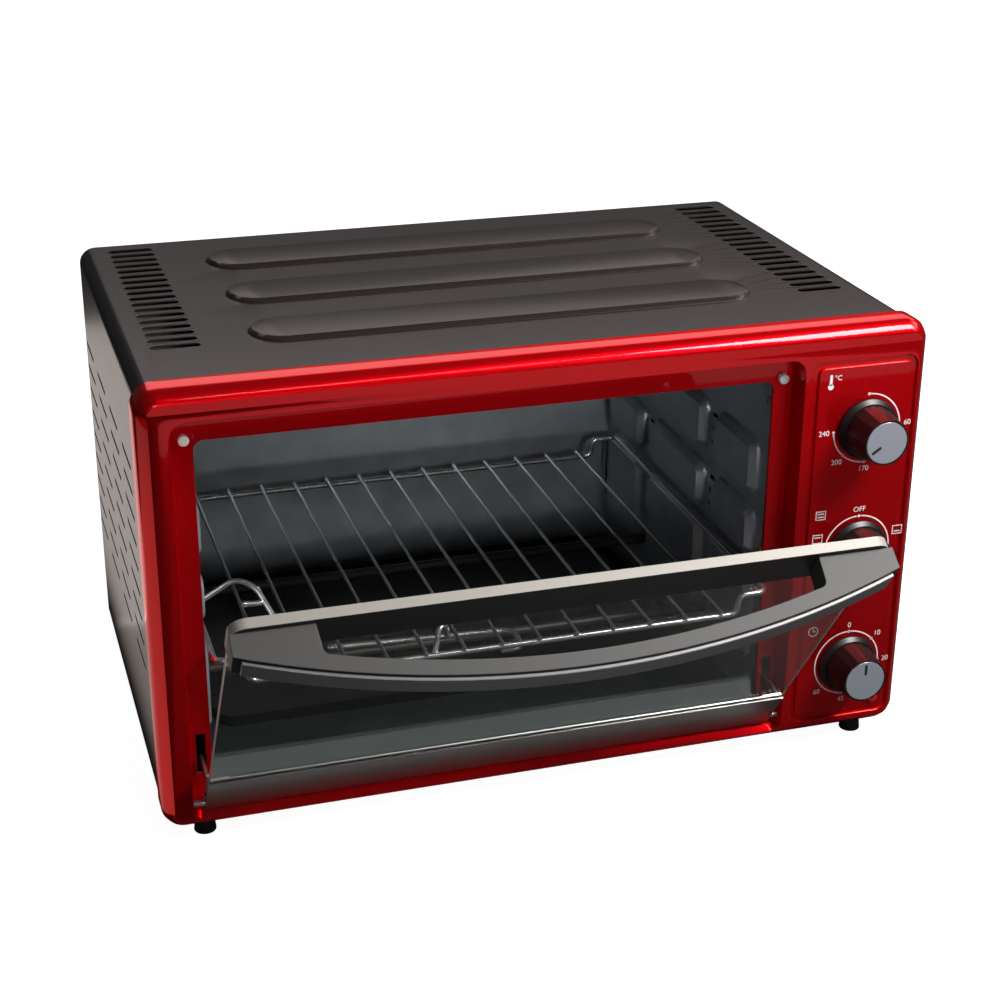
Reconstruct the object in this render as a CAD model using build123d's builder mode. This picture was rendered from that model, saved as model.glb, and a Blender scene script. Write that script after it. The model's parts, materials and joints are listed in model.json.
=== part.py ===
import os
from math import asin, atan2, cos, degrees, radians, sin, sqrt

from build123d import *

# Toaster oven with a drop-down glass door, drawn with the door standing part open.
# Millimetres. The front faces -Y, +X is the viewer's right, and Z is zero on the counter.
# The origin lies on the counter, under the middle of the oven with its door part open.

# Body
bezel_width = 455.0
bezel_height = 262.0
sill_height = 4.0
bezel_depth = 22.0
bezel_corner = 13.0
rim_depth = 14.0
rim_wall = 7.0
rim_bevel = 2.5
slope_inset = 6.5
face_wall = 3.4
wrapper_depth = 270.0
wrapper_inset = 2.5
wrapper_corner = 10.0
sheet = 0.8
sheet_fit = 0.2
foot_height = 8.0
body_setback = 80.0

# Door seat in the bezel
recess_left_margin = 17.0
recess_right_margin = 79.0
recess_top_margin = 16.5
recess_rise = 1.5
recess_depth = 12.5
recess_draft = 2.5
recess_corner = 9.0
recess_low_corner = 6.0
pocket_wall = 2.2
window_side_lap = 2.0
window_top_margin = 32.0
window_rise = 14.0
bumper_radius = 3.0
bumper_sides = 12
bumper_round = 0.7
bumper_gap = 0.3
bumper_side = 6.0
bumper_drop = 14.0
slot_width = 5.5
slot_height = 26.0
slot_rise = 25.0

# Oven cavity
cavity_side_margin = 11.5
cavity_top_lift = 3.0
cavity_back_gap = 7.5
flange_width = 9.0
pad_rise = 6.0
pad_bevel = 4.0
pad_border = 5.0
pad_corner = 6.0
pad_front_margin = 6.0
pad_back_margin = 14.1
pad_end_length = 60.0
pad_gap = 16.0
pad_bottoms = (40.0, 108.0, 148.0)
pad_heights = (60.9, 31.0, 34.0)
vent_hole_length = 8.0
vent_hole_height = 3.5
vent_hole_pitch = 9.0
bulge_depth = 5.5
bulge_bottom = 32.0
bulge_top = 98.0
tray_side_gap = 10.0
tray_back_gap = 12.1
tray_front = 62.0
tray_rim = 7.0
tray_corner = 14.0
tray_wall = 1.0
heater_radius = 3.3
heater_fit = 0.15
heater_tail = 14.0
heater_front = 74.0
heater_back_gap = 82.1
heater_sides = 12
heater_hole_sides = 6
lower_heater_rise = 46.0
upper_heater_rise = 215.0
insulator_size = 14.0
insulator_length = 9.0
cavity_screw_rises = (20.0, 117.0, 211.0)
cavity_screw_setback = 5.5
cavity_screw_length = 5.0

# Door, measured along its height from the hinge axis
open_angle = 36.5
hinge_rise = 10.5
hinge_stand = 6.5
pin_radius = 2.0
pin_fit = 0.06
pin_length = 16.0
door_side_gap = 4.5
door_length = 218.0
glass_thickness = 4.0
glass_side_gap = 1.0
glass_fit = 0.1
trim_sheet = 0.8
top_trim_height = 25.0
top_trim_corner = 9.0
glass_top_drop = 15.0
bottom_trim_top = 31.0
bottom_trim_drop = 4.0
glass_bottom = 16.0
stay_radius = 24.0
stay_width = 6.0
stay_sheet = 1.6
stay_sweep = 85.0
stay_steps = 7
stay_tab_height = 12.0
stay_tab_width = 12.0
stay_tab_sheet = 1.2

# Handle
handle_overhang = 0.5
handle_height = 16.0
handle_drop = 3.0
handle_depth = 47.0
handle_end_depth = 17.5
bar_thickness = 8.3
post_width = 42.0
post_slant = 1.0
post_inner_depth = 19.5
post_fillet = 4.0
strip_thickness = 2.2
strip_height = 12.5
strip_setback = 4.0
handle_screw_radius = 2.0
handle_screw_bite = 8.0
handle_screw_end_gap = 1.0

# Controls
panel_width = 65.7
panel_height = 232.0
panel_rise = 6.5
panel_side_margin = 8.3
panel_corner = 7.0
groove_width = 3.6
groove_depth = 1.6
dial_side_margin = 38.0
dial_drop = 2.9
dial_end_margin = 39.5
shaft_radius = 3.0
shaft_fit = 0.05
shaft_length = 34.0
shaft_hole_gap = 0.5
shaft_hole_sides = 12
shaft_sides = 12
shaft_end_gap = 1.0
knob_gap = 0.6
skirt_radius = 18.5
skirt_height = 4.5
skirt_chamfer = 2.2
skirt_sides = 20
grip_base_radius = 15.6
grip_draw_in = 1.8
grip_drawn_height = 19.0
grip_height = 20.0
grip_sides = 16
cap_radius = 12.7
cap_depth = 1.2
cap_fit = 0.1
pointer_length = 8.0
pointer_width = 1.9
pointer_offset = 7.4
temperature_angle = -236.0
control_body_depth = 30.0
thermostat_width = 40.0
thermostat_height = 36.0
switch_width = 38.0
switch_height = 32.0
timer_width = 46.0
timer_height = 44.0
lens_side_margin = 18.5
lens_rise = 15.5
lens_radius = 3.8
lens_sides = 12
lens_fit = 0.1
lens_stand = 1.5
lens_round = 1.0
lamp_length = 12.0
lamp_wall = 1.0
lamp_sides = 8

# Rack, at its place with the door standing at the open angle
rack_side_gap = 5.0
rack_back_gap = 27.6
rack_front = -21.5
rack_side_rise = 101.0
rack_drop = 12.0
rack_step = 17.5
rail_radius = 1.9
wire_radius = 1.15
wire_side_margin = 28.6
wire_count = 13
wire_sides = 6
bend = 3.0
weld_gap = 0.05
loop_left_reach = 94.0
loop_right_reach = 1.0
loop_depth = 26.0
loop_bow = 9.0
bridge_left = 34.0
bridge_span = 12.0
bridge_height = 8.0
arch_side = 3.1
arch_span = 36.0
arch_height = 11.0
arch_rear = 52.0
arch_front = 32.0

# Outer vents, beads and feet
bead_end_margin = 75.5
bead_width = 40.0
bead_rise = 2.5
bead_bevel = 2.4
bead_sides = 16
bead_pitch = 73.0
bead_setback = 8.5
vent_length = 28.0
vent_width = 6.5
vent_count = 18
vent_side_margin = 33.5
vent_front_margin = 56.0
vent_back_margin = 11.0
side_slot_length = 40.0
side_slot_height = 3.0
side_slot_columns = 4
side_slot_rows = 9
side_slot_row_pitch = 15.5
side_slot_mid_rise = 132.0
side_slot_front_margin = 40.0
side_slot_back_margin = 4.0
foot_radius = 6.5
foot_sides = 14
foot_taper = 4.0
foot_side_margin = 24.5
foot_front_setback = 8.0
foot_rear_setback = 25.0
foot_screw_bite = 4.0
foot_well_fit = 0.3
screw_radius = 1.6
screw_head_radius = 3.2
screw_head_height = 1.8
screw_fit = 0.1
screw_sides = 6

# Rear panel, base pan and the pieces on them
rear_vent_length = 90.0
rear_vent_height = 3.5
rear_vent_pitch = 9.0
rear_vent_rows = 5
rear_vent_spread = 150.0
rear_vent_rise = 200.0
rear_screw_margin = 14.0
rear_screw_rises = (30.0, 130.0, 230.0)
rear_screw_length = 6.0
base_side_height = 16.0
base_vent_length = 40.0
base_vent_width = 4.0
base_vent_pitch = 60.0
base_vent_columns = 5
base_vent_row_pitch = 120.0
gland_side_margin = 77.5
gland_rise = 48.0
gland_radius = 7.0
gland_bore = 3.6
gland_length = 10.0
gland_flange = 2.0
gland_flange_length = 3.0
gland_sides = 12
terminal_width = 22.0
terminal_length = 46.0
terminal_height = 16.0
terminal_setback = 50.0

# Places that follow from the sizes above
body_depth = bezel_depth + wrapper_depth
front_y = body_setback - body_depth / 2
seam_y = front_y + bezel_depth
slope_depth = bezel_depth - rim_depth
rear_y = body_setback + body_depth / 2
base_z = foot_height
datum_z = base_z + sill_height
bezel_mid_z = base_z + bezel_height / 2
wrapper_half = bezel_width / 2 - wrapper_inset
wrapper_top_z = base_z + bezel_height - wrapper_inset
wrapper_low_z = base_z + wrapper_inset
inner_half = wrapper_half - sheet - sheet_fit
rear_panel_y = rear_y - 2 * sheet

recess_width = bezel_width - recess_left_margin - recess_right_margin
recess_height = bezel_height - sill_height - recess_rise - recess_top_margin
recess_x = -bezel_width / 2 + recess_left_margin + recess_width / 2
recess_floor_y = front_y + recess_depth
pocket_back_y = recess_floor_y + pocket_wall
recess_mid_z = datum_z + recess_rise + recess_height / 2
window_height = bezel_height - sill_height - window_rise - window_top_margin
window_mid_z = datum_z + window_rise + window_height / 2

cavity_width = recess_width - 2 * cavity_side_margin
cavity_height = window_height + cavity_top_lift
window_width = cavity_width - 2 * window_side_lap
cavity_floor_z = datum_z + window_rise
cavity_top_z = cavity_floor_z + cavity_height
cavity_back_y = rear_panel_y - sheet - cavity_back_gap
cavity_mid_y = (pocket_back_y + cavity_back_y) / 2
wall_face = cavity_width / 2

hinge_y = recess_floor_y - hinge_stand
hinge_z = datum_z + hinge_rise
door_width = recess_width - 2 * recess_draft - 2 * door_side_gap
trim_half = glass_thickness / 2 + glass_fit + trim_sheet
rest_angle = radians(open_angle)
door_up = Vector(0, -sin(rest_angle), cos(rest_angle))
door_out = Vector(0, -cos(rest_angle), -sin(rest_angle))
hinge_point = Vector(recess_x, hinge_y, hinge_z)

panel_back_y = front_y + face_wall
panel_x = bezel_width / 2 - panel_side_margin - panel_width / 2
panel_mid_z = datum_z + panel_rise + panel_height / 2
dial_x = bezel_width / 2 - dial_side_margin
dial_pitch = panel_height / 2 - dial_end_margin
dial_heights = [panel_mid_z - dial_drop + step * dial_pitch for step in (1, 0, -1)]
lens_x = bezel_width / 2 - lens_side_margin
handle_length = door_width + 2 * handle_overhang

bead_length = bezel_width - 2 * bead_end_margin
bead_span = bead_length - bead_width
bead_y = seam_y + wrapper_depth / 2 + bead_setback
vent_x = bezel_width / 2 - vent_side_margin
vent_pitch = (wrapper_depth - vent_front_margin - vent_back_margin - vent_width) / (vent_count - 1)
vent_y = seam_y + (vent_front_margin + wrapper_depth - vent_back_margin) / 2
side_slot_run = wrapper_depth - side_slot_front_margin - side_slot_back_margin
side_slot_pitch = (side_slot_run - side_slot_length) / (side_slot_columns - 1)
side_slot_y = seam_y + side_slot_front_margin + side_slot_run / 2
foot_x = bezel_width / 2 - foot_side_margin
gland_x = bezel_width / 2 - gland_side_margin


# Plane that looks at the front: sketch x is X, sketch y is Z, and it extrudes towards the viewer
def front_plane(y):
    return Plane(origin=(0, y, 0), x_dir=(1, 0, 0), z_dir=(0, -1, 0))


# Plane across the oven: sketch x is Y, sketch y is Z, and it extrudes to the right
def side_plane(x):
    return Plane(origin=(x, 0, 0), x_dir=(0, 1, 0), z_dir=(1, 0, 0))


# Plane parallel to the door: sketch x is X from the door's middle, sketch y goes up the door
def door_plane(out):
    return Plane(origin=hinge_point + door_out * out, x_dir=(1, 0, 0), z_dir=door_out)


# Plane across the door: sketch x goes out of the door, sketch y goes up it, and it extrudes to the left
def door_section(x):
    return Plane(origin=hinge_point + Vector(x, 0, 0), x_dir=door_out, z_dir=(-1, 0, 0))


# Plane square to the door's height: sketch x is X, sketch y goes out of the door, it extrudes downwards
def door_plan(up):
    return Plane(origin=hinge_point + door_up * up, x_dir=(1, 0, 0), z_dir=door_up * -1)


# Depth behind the seam between bezel and wrapper, and height above the bezel's lower edge
def depth(distance):
    return seam_y + distance


def rise(distance):
    return datum_z + distance


def save(piece, name):
    piece.part.label = name
    export_step(piece.part, f"parts/{name}.step")


os.makedirs("parts", exist_ok=True)

# Front bezel: rim, sloping border, door seat with its window, and the control panel with its groove
with BuildPart() as front_bezel:
    with BuildSketch(front_plane(seam_y)):
        with Locations((0, bezel_mid_z)):
            RectangleRounded(bezel_width, bezel_height, bezel_corner)
    extrude(amount=rim_depth)
    with BuildSketch(front_plane(seam_y - rim_depth)):
        with Locations((0, bezel_mid_z)):
            RectangleRounded(bezel_width, bezel_height, bezel_corner)
    extrude(amount=slope_depth, taper=degrees(atan2(slope_inset, slope_depth)))
    rim_edges = front_bezel.edges().filter_by_position(Axis.Y, seam_y - rim_depth, seam_y - rim_depth)
    chamfer(rim_edges, rim_bevel)
    with BuildSketch(front_plane(seam_y)):
        with Locations((0, bezel_mid_z)):
            Rectangle(bezel_width - 2 * rim_wall, bezel_height - 2 * rim_wall)
    extrude(amount=seam_y - pocket_back_y, mode=Mode.SUBTRACT)
    with BuildSketch(front_plane(pocket_back_y)):
        with Locations((0, bezel_mid_z)):
            Rectangle(bezel_width - 2 * rim_wall, bezel_height - 2 * rim_wall)
        with Locations((recess_x, recess_mid_z)):
            Rectangle(recess_width + 2 * pocket_wall, recess_height + 2 * pocket_wall, mode=Mode.SUBTRACT)
    extrude(amount=pocket_back_y - panel_back_y, mode=Mode.SUBTRACT)
    with BuildSketch(front_plane(front_y)) as recess_outline:
        with Locations((recess_x, recess_mid_z)):
            Rectangle(recess_width, recess_height)
        fillet(recess_outline.vertices().group_by(Axis.Y)[-1], recess_corner)
        fillet(recess_outline.vertices().group_by(Axis.Y)[0], recess_low_corner)
    extrude(amount=-recess_depth, taper=degrees(atan2(recess_draft, recess_depth)), mode=Mode.SUBTRACT)
    with BuildSketch(front_plane(pocket_back_y)):
        with Locations((recess_x, window_mid_z)):
            Rectangle(window_width, window_height)
        with Locations((recess_x, rise(slot_rise) + slot_height / 2)):
            with GridLocations(door_width - stay_sheet, 0, 2, 1):
                Rectangle(slot_width, slot_height)
    extrude(amount=pocket_wall, mode=Mode.SUBTRACT)
    with BuildSketch(front_plane(front_y + groove_depth)):
        with Locations((panel_x, panel_mid_z)):
            RectangleRounded(panel_width, panel_height, panel_corner)
            RectangleRounded(
                panel_width - 2 * groove_width,
                panel_height - 2 * groove_width,
                panel_corner - groove_width,
                mode=Mode.SUBTRACT,
            )
    extrude(amount=groove_depth, mode=Mode.SUBTRACT)
    with BuildSketch(front_plane(panel_back_y)):
        with Locations(*[(dial_x, height) for height in dial_heights]):
            RegularPolygon(shaft_radius + shaft_hole_gap, shaft_hole_sides)
        with Locations((lens_x, rise(lens_rise))):
            RegularPolygon(lens_radius + lens_fit, lens_sides)
    extrude(amount=face_wall, mode=Mode.SUBTRACT)
    with BuildSketch(side_plane(recess_x - recess_width / 2 - pocket_wall)):
        with Locations((hinge_y, hinge_z)):
            Circle(pin_radius + pin_fit)
    extrude(amount=recess_width + 2 * pocket_wall, mode=Mode.SUBTRACT)
    with BuildSketch(Plane.XY.offset(base_z)):
        with Locations((0, seam_y - foot_front_setback)):
            with GridLocations(2 * foot_x, 0, 2, 1):
                RegularPolygon(screw_radius + screw_fit, screw_sides)
    extrude(amount=foot_screw_bite + screw_fit, mode=Mode.SUBTRACT)
save(front_bezel, "front_bezel")

# Outer wrapper: one folded sheet with three raised beads, top vents and side slots
with BuildPart() as outer_wrapper:
    with BuildSketch(front_plane(rear_y)):
        with BuildLine():
            FilletPolyline(
                (-wrapper_half + sheet / 2, wrapper_low_z),
                (-wrapper_half + sheet / 2, wrapper_top_z - sheet / 2),
                (wrapper_half - sheet / 2, wrapper_top_z - sheet / 2),
                (wrapper_half - sheet / 2, wrapper_low_z),
                radius=wrapper_corner - sheet / 2,
            )
        trace(line_width=sheet)
    extrude(amount=wrapper_depth)
    with BuildSketch(Plane.XY.offset(wrapper_top_z - sheet / 2)):
        with Locations((0, bead_y)):
            with GridLocations(0, bead_pitch, 1, 3):
                Rectangle(bead_span, bead_width)
            with GridLocations(bead_span, bead_pitch, 2, 3):
                RegularPolygon(bead_width / 2, bead_sides)
    extrude(amount=bead_rise + sheet / 2)
    bead_tops = outer_wrapper.faces().filter_by(Axis.Z).group_by(Axis.Z)[-1]
    chamfer(bead_tops.edges(), bead_bevel)
    with BuildSketch(Plane.XY.offset(wrapper_top_z - sheet)):
        with Locations((0, bead_y)):
            with GridLocations(0, bead_pitch, 1, 3):
                Rectangle(bead_span, bead_width - 2 * bead_bevel - 2 * sheet)
            with GridLocations(bead_span, bead_pitch, 2, 3):
                RegularPolygon(bead_width / 2 - bead_bevel - sheet, bead_sides)
    extrude(amount=bead_rise, mode=Mode.SUBTRACT)
    with BuildSketch(Plane.XY.offset(wrapper_top_z)):
        with Locations((0, vent_y)):
            with GridLocations(2 * vent_x, vent_pitch, 2, vent_count):
                Rectangle(vent_length, vent_width)
    extrude(amount=-sheet, mode=Mode.SUBTRACT)
    with BuildSketch(side_plane(-wrapper_half)):
        with Locations((side_slot_y, rise(side_slot_mid_rise))):
            with GridLocations(side_slot_pitch, side_slot_row_pitch, side_slot_columns, side_slot_rows):
                Rectangle(side_slot_length, side_slot_height)
    extrude(amount=2 * wrapper_half, mode=Mode.SUBTRACT)
save(outer_wrapper, "outer_wrapper")

# Rear panel: flat sheet inside the wrapper, with two groups of vents and the hole of the cord gland
rear_low_z = base_z + sheet + sheet_fit
rear_top_z = wrapper_top_z - sheet - sheet_fit
rear_screw_places = [
    (side * (inner_half - rear_screw_margin), rise(level))
    for side in (-1, 1)
    for level in rear_screw_rises
]
with BuildPart() as rear_panel:
    with BuildSketch(front_plane(rear_panel_y)) as rear_outline:
        with Locations((0, (rear_low_z + rear_top_z) / 2)):
            Rectangle(2 * inner_half, rear_top_z - rear_low_z)
        fillet(rear_outline.vertices().group_by(Axis.Y)[-1], wrapper_corner - sheet)
        with Locations((0, rise(rear_vent_rise))):
            with GridLocations(rear_vent_spread, rear_vent_pitch, 2, rear_vent_rows):
                Rectangle(rear_vent_length, rear_vent_height, mode=Mode.SUBTRACT)
        with Locations((gland_x, rise(gland_rise))):
            RegularPolygon(gland_radius + screw_fit, gland_sides, mode=Mode.SUBTRACT)
        with Locations(*rear_screw_places):
            RegularPolygon(screw_radius + screw_fit, screw_sides, mode=Mode.SUBTRACT)
    extrude(amount=sheet)
save(rear_panel, "rear_panel")

# Base pan: folded tray with upturned sides inside the wrapper, and two rows of air slots
with BuildPart() as base_pan:
    with BuildSketch(front_plane(rear_panel_y - sheet)):
        with BuildLine():
            Polyline(
                (-inner_half + sheet / 2, base_z + base_side_height),
                (-inner_half + sheet / 2, base_z + sheet / 2),
                (inner_half - sheet / 2, base_z + sheet / 2),
                (inner_half - sheet / 2, base_z + base_side_height),
            )
        trace(line_width=sheet)
    extrude(amount=rear_panel_y - sheet - seam_y)
    with BuildSketch(Plane.XY.offset(base_z)):
        with Locations((0, body_setback)):
            with GridLocations(base_vent_pitch, base_vent_row_pitch, base_vent_columns, 2):
                Rectangle(base_vent_length, base_vent_width)
        with Locations((foot_x, rear_y - foot_rear_setback), (-foot_x, rear_y - foot_rear_setback)):
            RegularPolygon(screw_radius + screw_fit, screw_sides)
    extrude(amount=sheet, mode=Mode.SUBTRACT)
save(base_pan, "base_pan")

# Cavity side walls: embossed pads leave two rack channels, with air holes between them
pad_run = cavity_back_y - seam_y - pad_front_margin - pad_back_margin
pad_mid_length = pad_run - 2 * pad_end_length - 2 * pad_gap
pad_lengths = (pad_end_length, pad_mid_length, pad_end_length)
pad_fronts = (
    pad_front_margin,
    pad_front_margin + pad_end_length + pad_gap,
    pad_front_margin + pad_end_length + pad_gap + pad_mid_length + pad_gap,
)
pad_places = [
    (start, length, low, height)
    for start, length in zip(pad_fronts, pad_lengths)
    for low, height in zip(pad_bottoms, pad_heights)
]
hole_columns = [pad_fronts[1] - pad_gap / 2, pad_fronts[2] - pad_gap / 2]
heater_hole = heater_radius + heater_fit
heater_ys = (depth(heater_front), cavity_back_y - heater_back_gap)
heater_places = [(y, rise(level)) for y in heater_ys for level in (lower_heater_rise, upper_heater_rise)]
screw_y = pocket_back_y + cavity_screw_setback


# inward is +1 for the left wall, which faces the right, and -1 for the right wall
def cavity_side_wall(inward):
    face_x = recess_x - inward * wall_face
    out_plane = side_plane(face_x)
    with BuildPart() as wall:
        with BuildSketch(out_plane):
            with Locations((cavity_mid_y, (cavity_floor_z + cavity_top_z) / 2)):
                Rectangle(cavity_back_y - pocket_back_y, cavity_height)
        extrude(amount=-inward * sheet)
        with BuildSketch(front_plane(pocket_back_y + sheet)):
            with Locations((face_x - inward * flange_width / 2, (cavity_floor_z + cavity_top_z) / 2)):
                Rectangle(flange_width, cavity_height)
            with Locations((face_x - inward * flange_width / 2, rise(slot_rise) + slot_height / 2)):
                Rectangle(flange_width - 2 * sheet, slot_height, mode=Mode.SUBTRACT)
        extrude(amount=sheet)
        for start, length, low, height in pad_places:
            pad_centre = (face_x + inward * pad_rise, depth(start + length / 2), rise(low + height / 2))
            with BuildSketch(out_plane) as pad_outline:
                with Locations((depth(start + length / 2), rise(low + height / 2))):
                    Rectangle(length, height)
                chamfer(pad_outline.vertices(), pad_corner)
            extrude(amount=inward * pad_rise)
            pad_face = wall.faces().filter_by(Axis.X).sort_by_distance(pad_centre)[0]
            chamfer(pad_face.edges(), pad_bevel)
            with BuildSketch(out_plane.offset(-inward * sheet)):
                with Locations((depth(start + length / 2), rise(low + height / 2))):
                    Rectangle(length - 2 * pad_border, height - 2 * pad_border)
            extrude(amount=inward * pad_rise, mode=Mode.SUBTRACT)
        with BuildSketch(out_plane.offset(-inward * sheet)):
            for column in hole_columns:
                for low, height in zip(pad_bottoms, pad_heights):
                    with Locations((depth(column), rise(low + height / 2))):
                        with GridLocations(0, vent_hole_pitch, 1, 3):
                            Rectangle(vent_hole_length, vent_hole_height)
            with Locations(*heater_places):
                RegularPolygon(heater_hole, heater_hole_sides, major_radius=False)
            with Locations(*[(screw_y, rise(height)) for height in cavity_screw_rises]):
                RegularPolygon(screw_radius + screw_fit, screw_sides)
        extrude(amount=inward * (sheet + pad_rise), mode=Mode.SUBTRACT)
    return wall


cavity_left_wall = cavity_side_wall(1)
save(cavity_left_wall, "cavity_left_wall")
cavity_right_wall = cavity_side_wall(-1)
save(cavity_right_wall, "cavity_right_wall")

# Cavity roof and floor: sheets that reach over the walls and the back
plate_width = cavity_width + 2 * sheet
plate_depth = cavity_back_y + sheet - pocket_back_y
with BuildPart() as cavity_top:
    with BuildSketch(Plane.XY.offset(cavity_top_z)):
        with Locations((recess_x, pocket_back_y + plate_depth / 2)):
            Rectangle(plate_width, plate_depth)
    extrude(amount=sheet)
save(cavity_top, "cavity_top")

with BuildPart() as cavity_floor:
    with BuildSketch(Plane.XY.offset(cavity_floor_z - sheet)):
        with Locations((recess_x, pocket_back_y + plate_depth / 2)):
            Rectangle(plate_width, plate_depth)
    extrude(amount=sheet)
save(cavity_floor, "cavity_floor")

# Cavity back: flat above, with a rounded bulge pressed outwards below the crease
back_sheet_y = cavity_back_y + sheet / 2
with BuildPart() as cavity_back_wall:
    with BuildSketch(side_plane(recess_x - plate_width / 2)):
        with BuildLine():
            Line((back_sheet_y, cavity_top_z), (back_sheet_y, rise(bulge_top)))
            ThreePointArc(
                (back_sheet_y, rise(bulge_top)),
                (back_sheet_y + bulge_depth, rise((bulge_top + bulge_bottom) / 2)),
                (back_sheet_y, rise(bulge_bottom)),
            )
            Line((back_sheet_y, rise(bulge_bottom)), (back_sheet_y, cavity_floor_z))
        trace(line_width=sheet)
    extrude(amount=plate_width)
save(cavity_back_wall, "cavity_back_wall")

# Crumb tray lying on the floor
tray_width = cavity_width - 2 * tray_side_gap
tray_depth = cavity_back_y - tray_back_gap - depth(tray_front)
with BuildPart() as crumb_tray:
    with BuildSketch(Plane.XY.offset(cavity_floor_z)) as tray_outline:
        with Locations((recess_x, depth(tray_front + tray_depth / 2))):
            Rectangle(tray_width, tray_depth)
        chamfer(tray_outline.vertices(), tray_corner)
    extrude(amount=tray_rim)
    with BuildSketch(Plane.XY.offset(cavity_floor_z + tray_wall)) as tray_hollow:
        with Locations((recess_x, depth(tray_front + tray_depth / 2))):
            Rectangle(tray_width - 2 * tray_wall, tray_depth - 2 * tray_wall)
        chamfer(tray_hollow.vertices(), tray_corner)
    extrude(amount=tray_rim - tray_wall, mode=Mode.SUBTRACT)
save(crumb_tray, "crumb_tray")

# Heating rods across the cavity, two below the rack and two above it
rod_start = recess_x - wall_face - sheet - heater_tail
rod_length = cavity_width + 2 * sheet + 2 * heater_tail


def heating_rod(name, place):
    with BuildPart() as rod:
        with BuildSketch(side_plane(rod_start)):
            with Locations(place):
                RegularPolygon(heater_radius, heater_sides)
        extrude(amount=rod_length)
    save(rod, name)


for level_name, level in (("lower", lower_heater_rise), ("upper", upper_heater_rise)):
    for place_name, heater_y in zip(("front", "rear"), heater_ys):
        heating_rod(f"{level_name}_heater_{place_name}", (heater_y, rise(level)))

# Ceramic blocks that carry the rods, outside the cavity walls
with BuildPart() as heater_insulators:
    with BuildSketch(side_plane(recess_x - wall_face - sheet - insulator_length)):
        with Locations(*heater_places):
            Rectangle(insulator_size, insulator_size)
            RegularPolygon(heater_hole, heater_hole_sides, major_radius=False, mode=Mode.SUBTRACT)
    extrude(amount=insulator_length)
    with BuildSketch(side_plane(recess_x + wall_face + sheet)):
        with Locations(*heater_places):
            Rectangle(insulator_size, insulator_size)
            RegularPolygon(heater_hole, heater_hole_sides, major_radius=False, mode=Mode.SUBTRACT)
    extrude(amount=insulator_length)
save(heater_insulators, "heater_insulators")

# Pan-head screws of the cavity walls, with their heads inside
with BuildPart() as cavity_screws:
    for inward in (1, -1):
        face_x = recess_x - inward * wall_face
        with BuildSketch(side_plane(face_x)):
            with Locations(*[(screw_y, rise(height)) for height in cavity_screw_rises]):
                RegularPolygon(screw_head_radius, screw_sides)
        extrude(amount=inward * screw_head_height)
        with BuildSketch(side_plane(face_x)):
            with Locations(*[(screw_y, rise(height)) for height in cavity_screw_rises]):
                RegularPolygon(screw_radius, screw_sides)
        extrude(amount=-inward * cavity_screw_length)
save(cavity_screws, "cavity_screws")

# Screws of the rear panel
with BuildPart() as rear_screws:
    with BuildSketch(front_plane(rear_panel_y)):
        with Locations(*rear_screw_places):
            RegularPolygon(screw_head_radius, screw_sides)
    extrude(amount=-screw_head_height)
    with BuildSketch(front_plane(rear_panel_y)):
        with Locations(*rear_screw_places):
            RegularPolygon(screw_radius, screw_sides)
    extrude(amount=rear_screw_length)
save(rear_screws, "rear_screws")

# Rubber feet: the front pair under the bezel's rim, the rear pair under the base pan
foot_places = {
    "foot_front_left": (-foot_x, seam_y - foot_front_setback),
    "foot_front_right": (foot_x, seam_y - foot_front_setback),
    "foot_rear_left": (-foot_x, rear_y - foot_rear_setback),
    "foot_rear_right": (foot_x, rear_y - foot_rear_setback),
}


def foot(name, place):
    with BuildPart() as rubber:
        with BuildSketch(Plane.XY):
            with Locations(place):
                RegularPolygon(foot_radius, foot_sides)
        extrude(amount=foot_height, taper=foot_taper)
        with BuildSketch(Plane.XY):
            with Locations(place):
                RegularPolygon(screw_head_radius + foot_well_fit, screw_sides)
        extrude(amount=foot_height / 2, mode=Mode.SUBTRACT)
        with BuildSketch(Plane.XY):
            with Locations(place):
                RegularPolygon(screw_radius + screw_fit, screw_sides)
        extrude(amount=foot_height, mode=Mode.SUBTRACT)
    save(rubber, name)


for foot_name, foot_place in foot_places.items():
    foot(foot_name, foot_place)

with BuildPart() as foot_screws:
    with BuildSketch(Plane.XY.offset(foot_height / 2)):
        with Locations(*foot_places.values()):
            RegularPolygon(screw_head_radius, screw_sides)
    extrude(amount=-screw_head_height)
    with BuildSketch(Plane.XY.offset(foot_height / 2)):
        with Locations(*foot_places.values()):
            RegularPolygon(screw_radius, screw_sides)
    extrude(amount=foot_height / 2 + foot_screw_bite)
save(foot_screws, "foot_screws")

# Silicone bumpers in the upper corners of the door seat
bumper_height = hinge_stand - trim_half - bumper_gap
bumper_span = recess_width - 2 * recess_draft - 2 * bumper_side
bumper_z = rise(recess_rise + recess_height - bumper_drop)
for bumper_name, side in (("bumper_left", -1), ("bumper_right", 1)):
    with BuildPart() as bumper:
        with BuildSketch(front_plane(recess_floor_y)):
            with Locations((recess_x + side * bumper_span / 2, bumper_z)):
                RegularPolygon(bumper_radius, bumper_sides)
        extrude(amount=bumper_height)
        chamfer(bumper.faces().sort_by(Axis.Y)[0].edges(), bumper_round)
    save(bumper, bumper_name)

# Door glass
with BuildPart() as door_glass:
    with BuildSketch(door_plane(-glass_thickness / 2)):
        with Locations((0, (glass_bottom + door_length - glass_top_drop) / 2)):
            Rectangle(door_width - 2 * glass_side_gap, door_length - glass_top_drop - glass_bottom)
    extrude(amount=glass_thickness)
save(door_glass, "door_glass")

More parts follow.
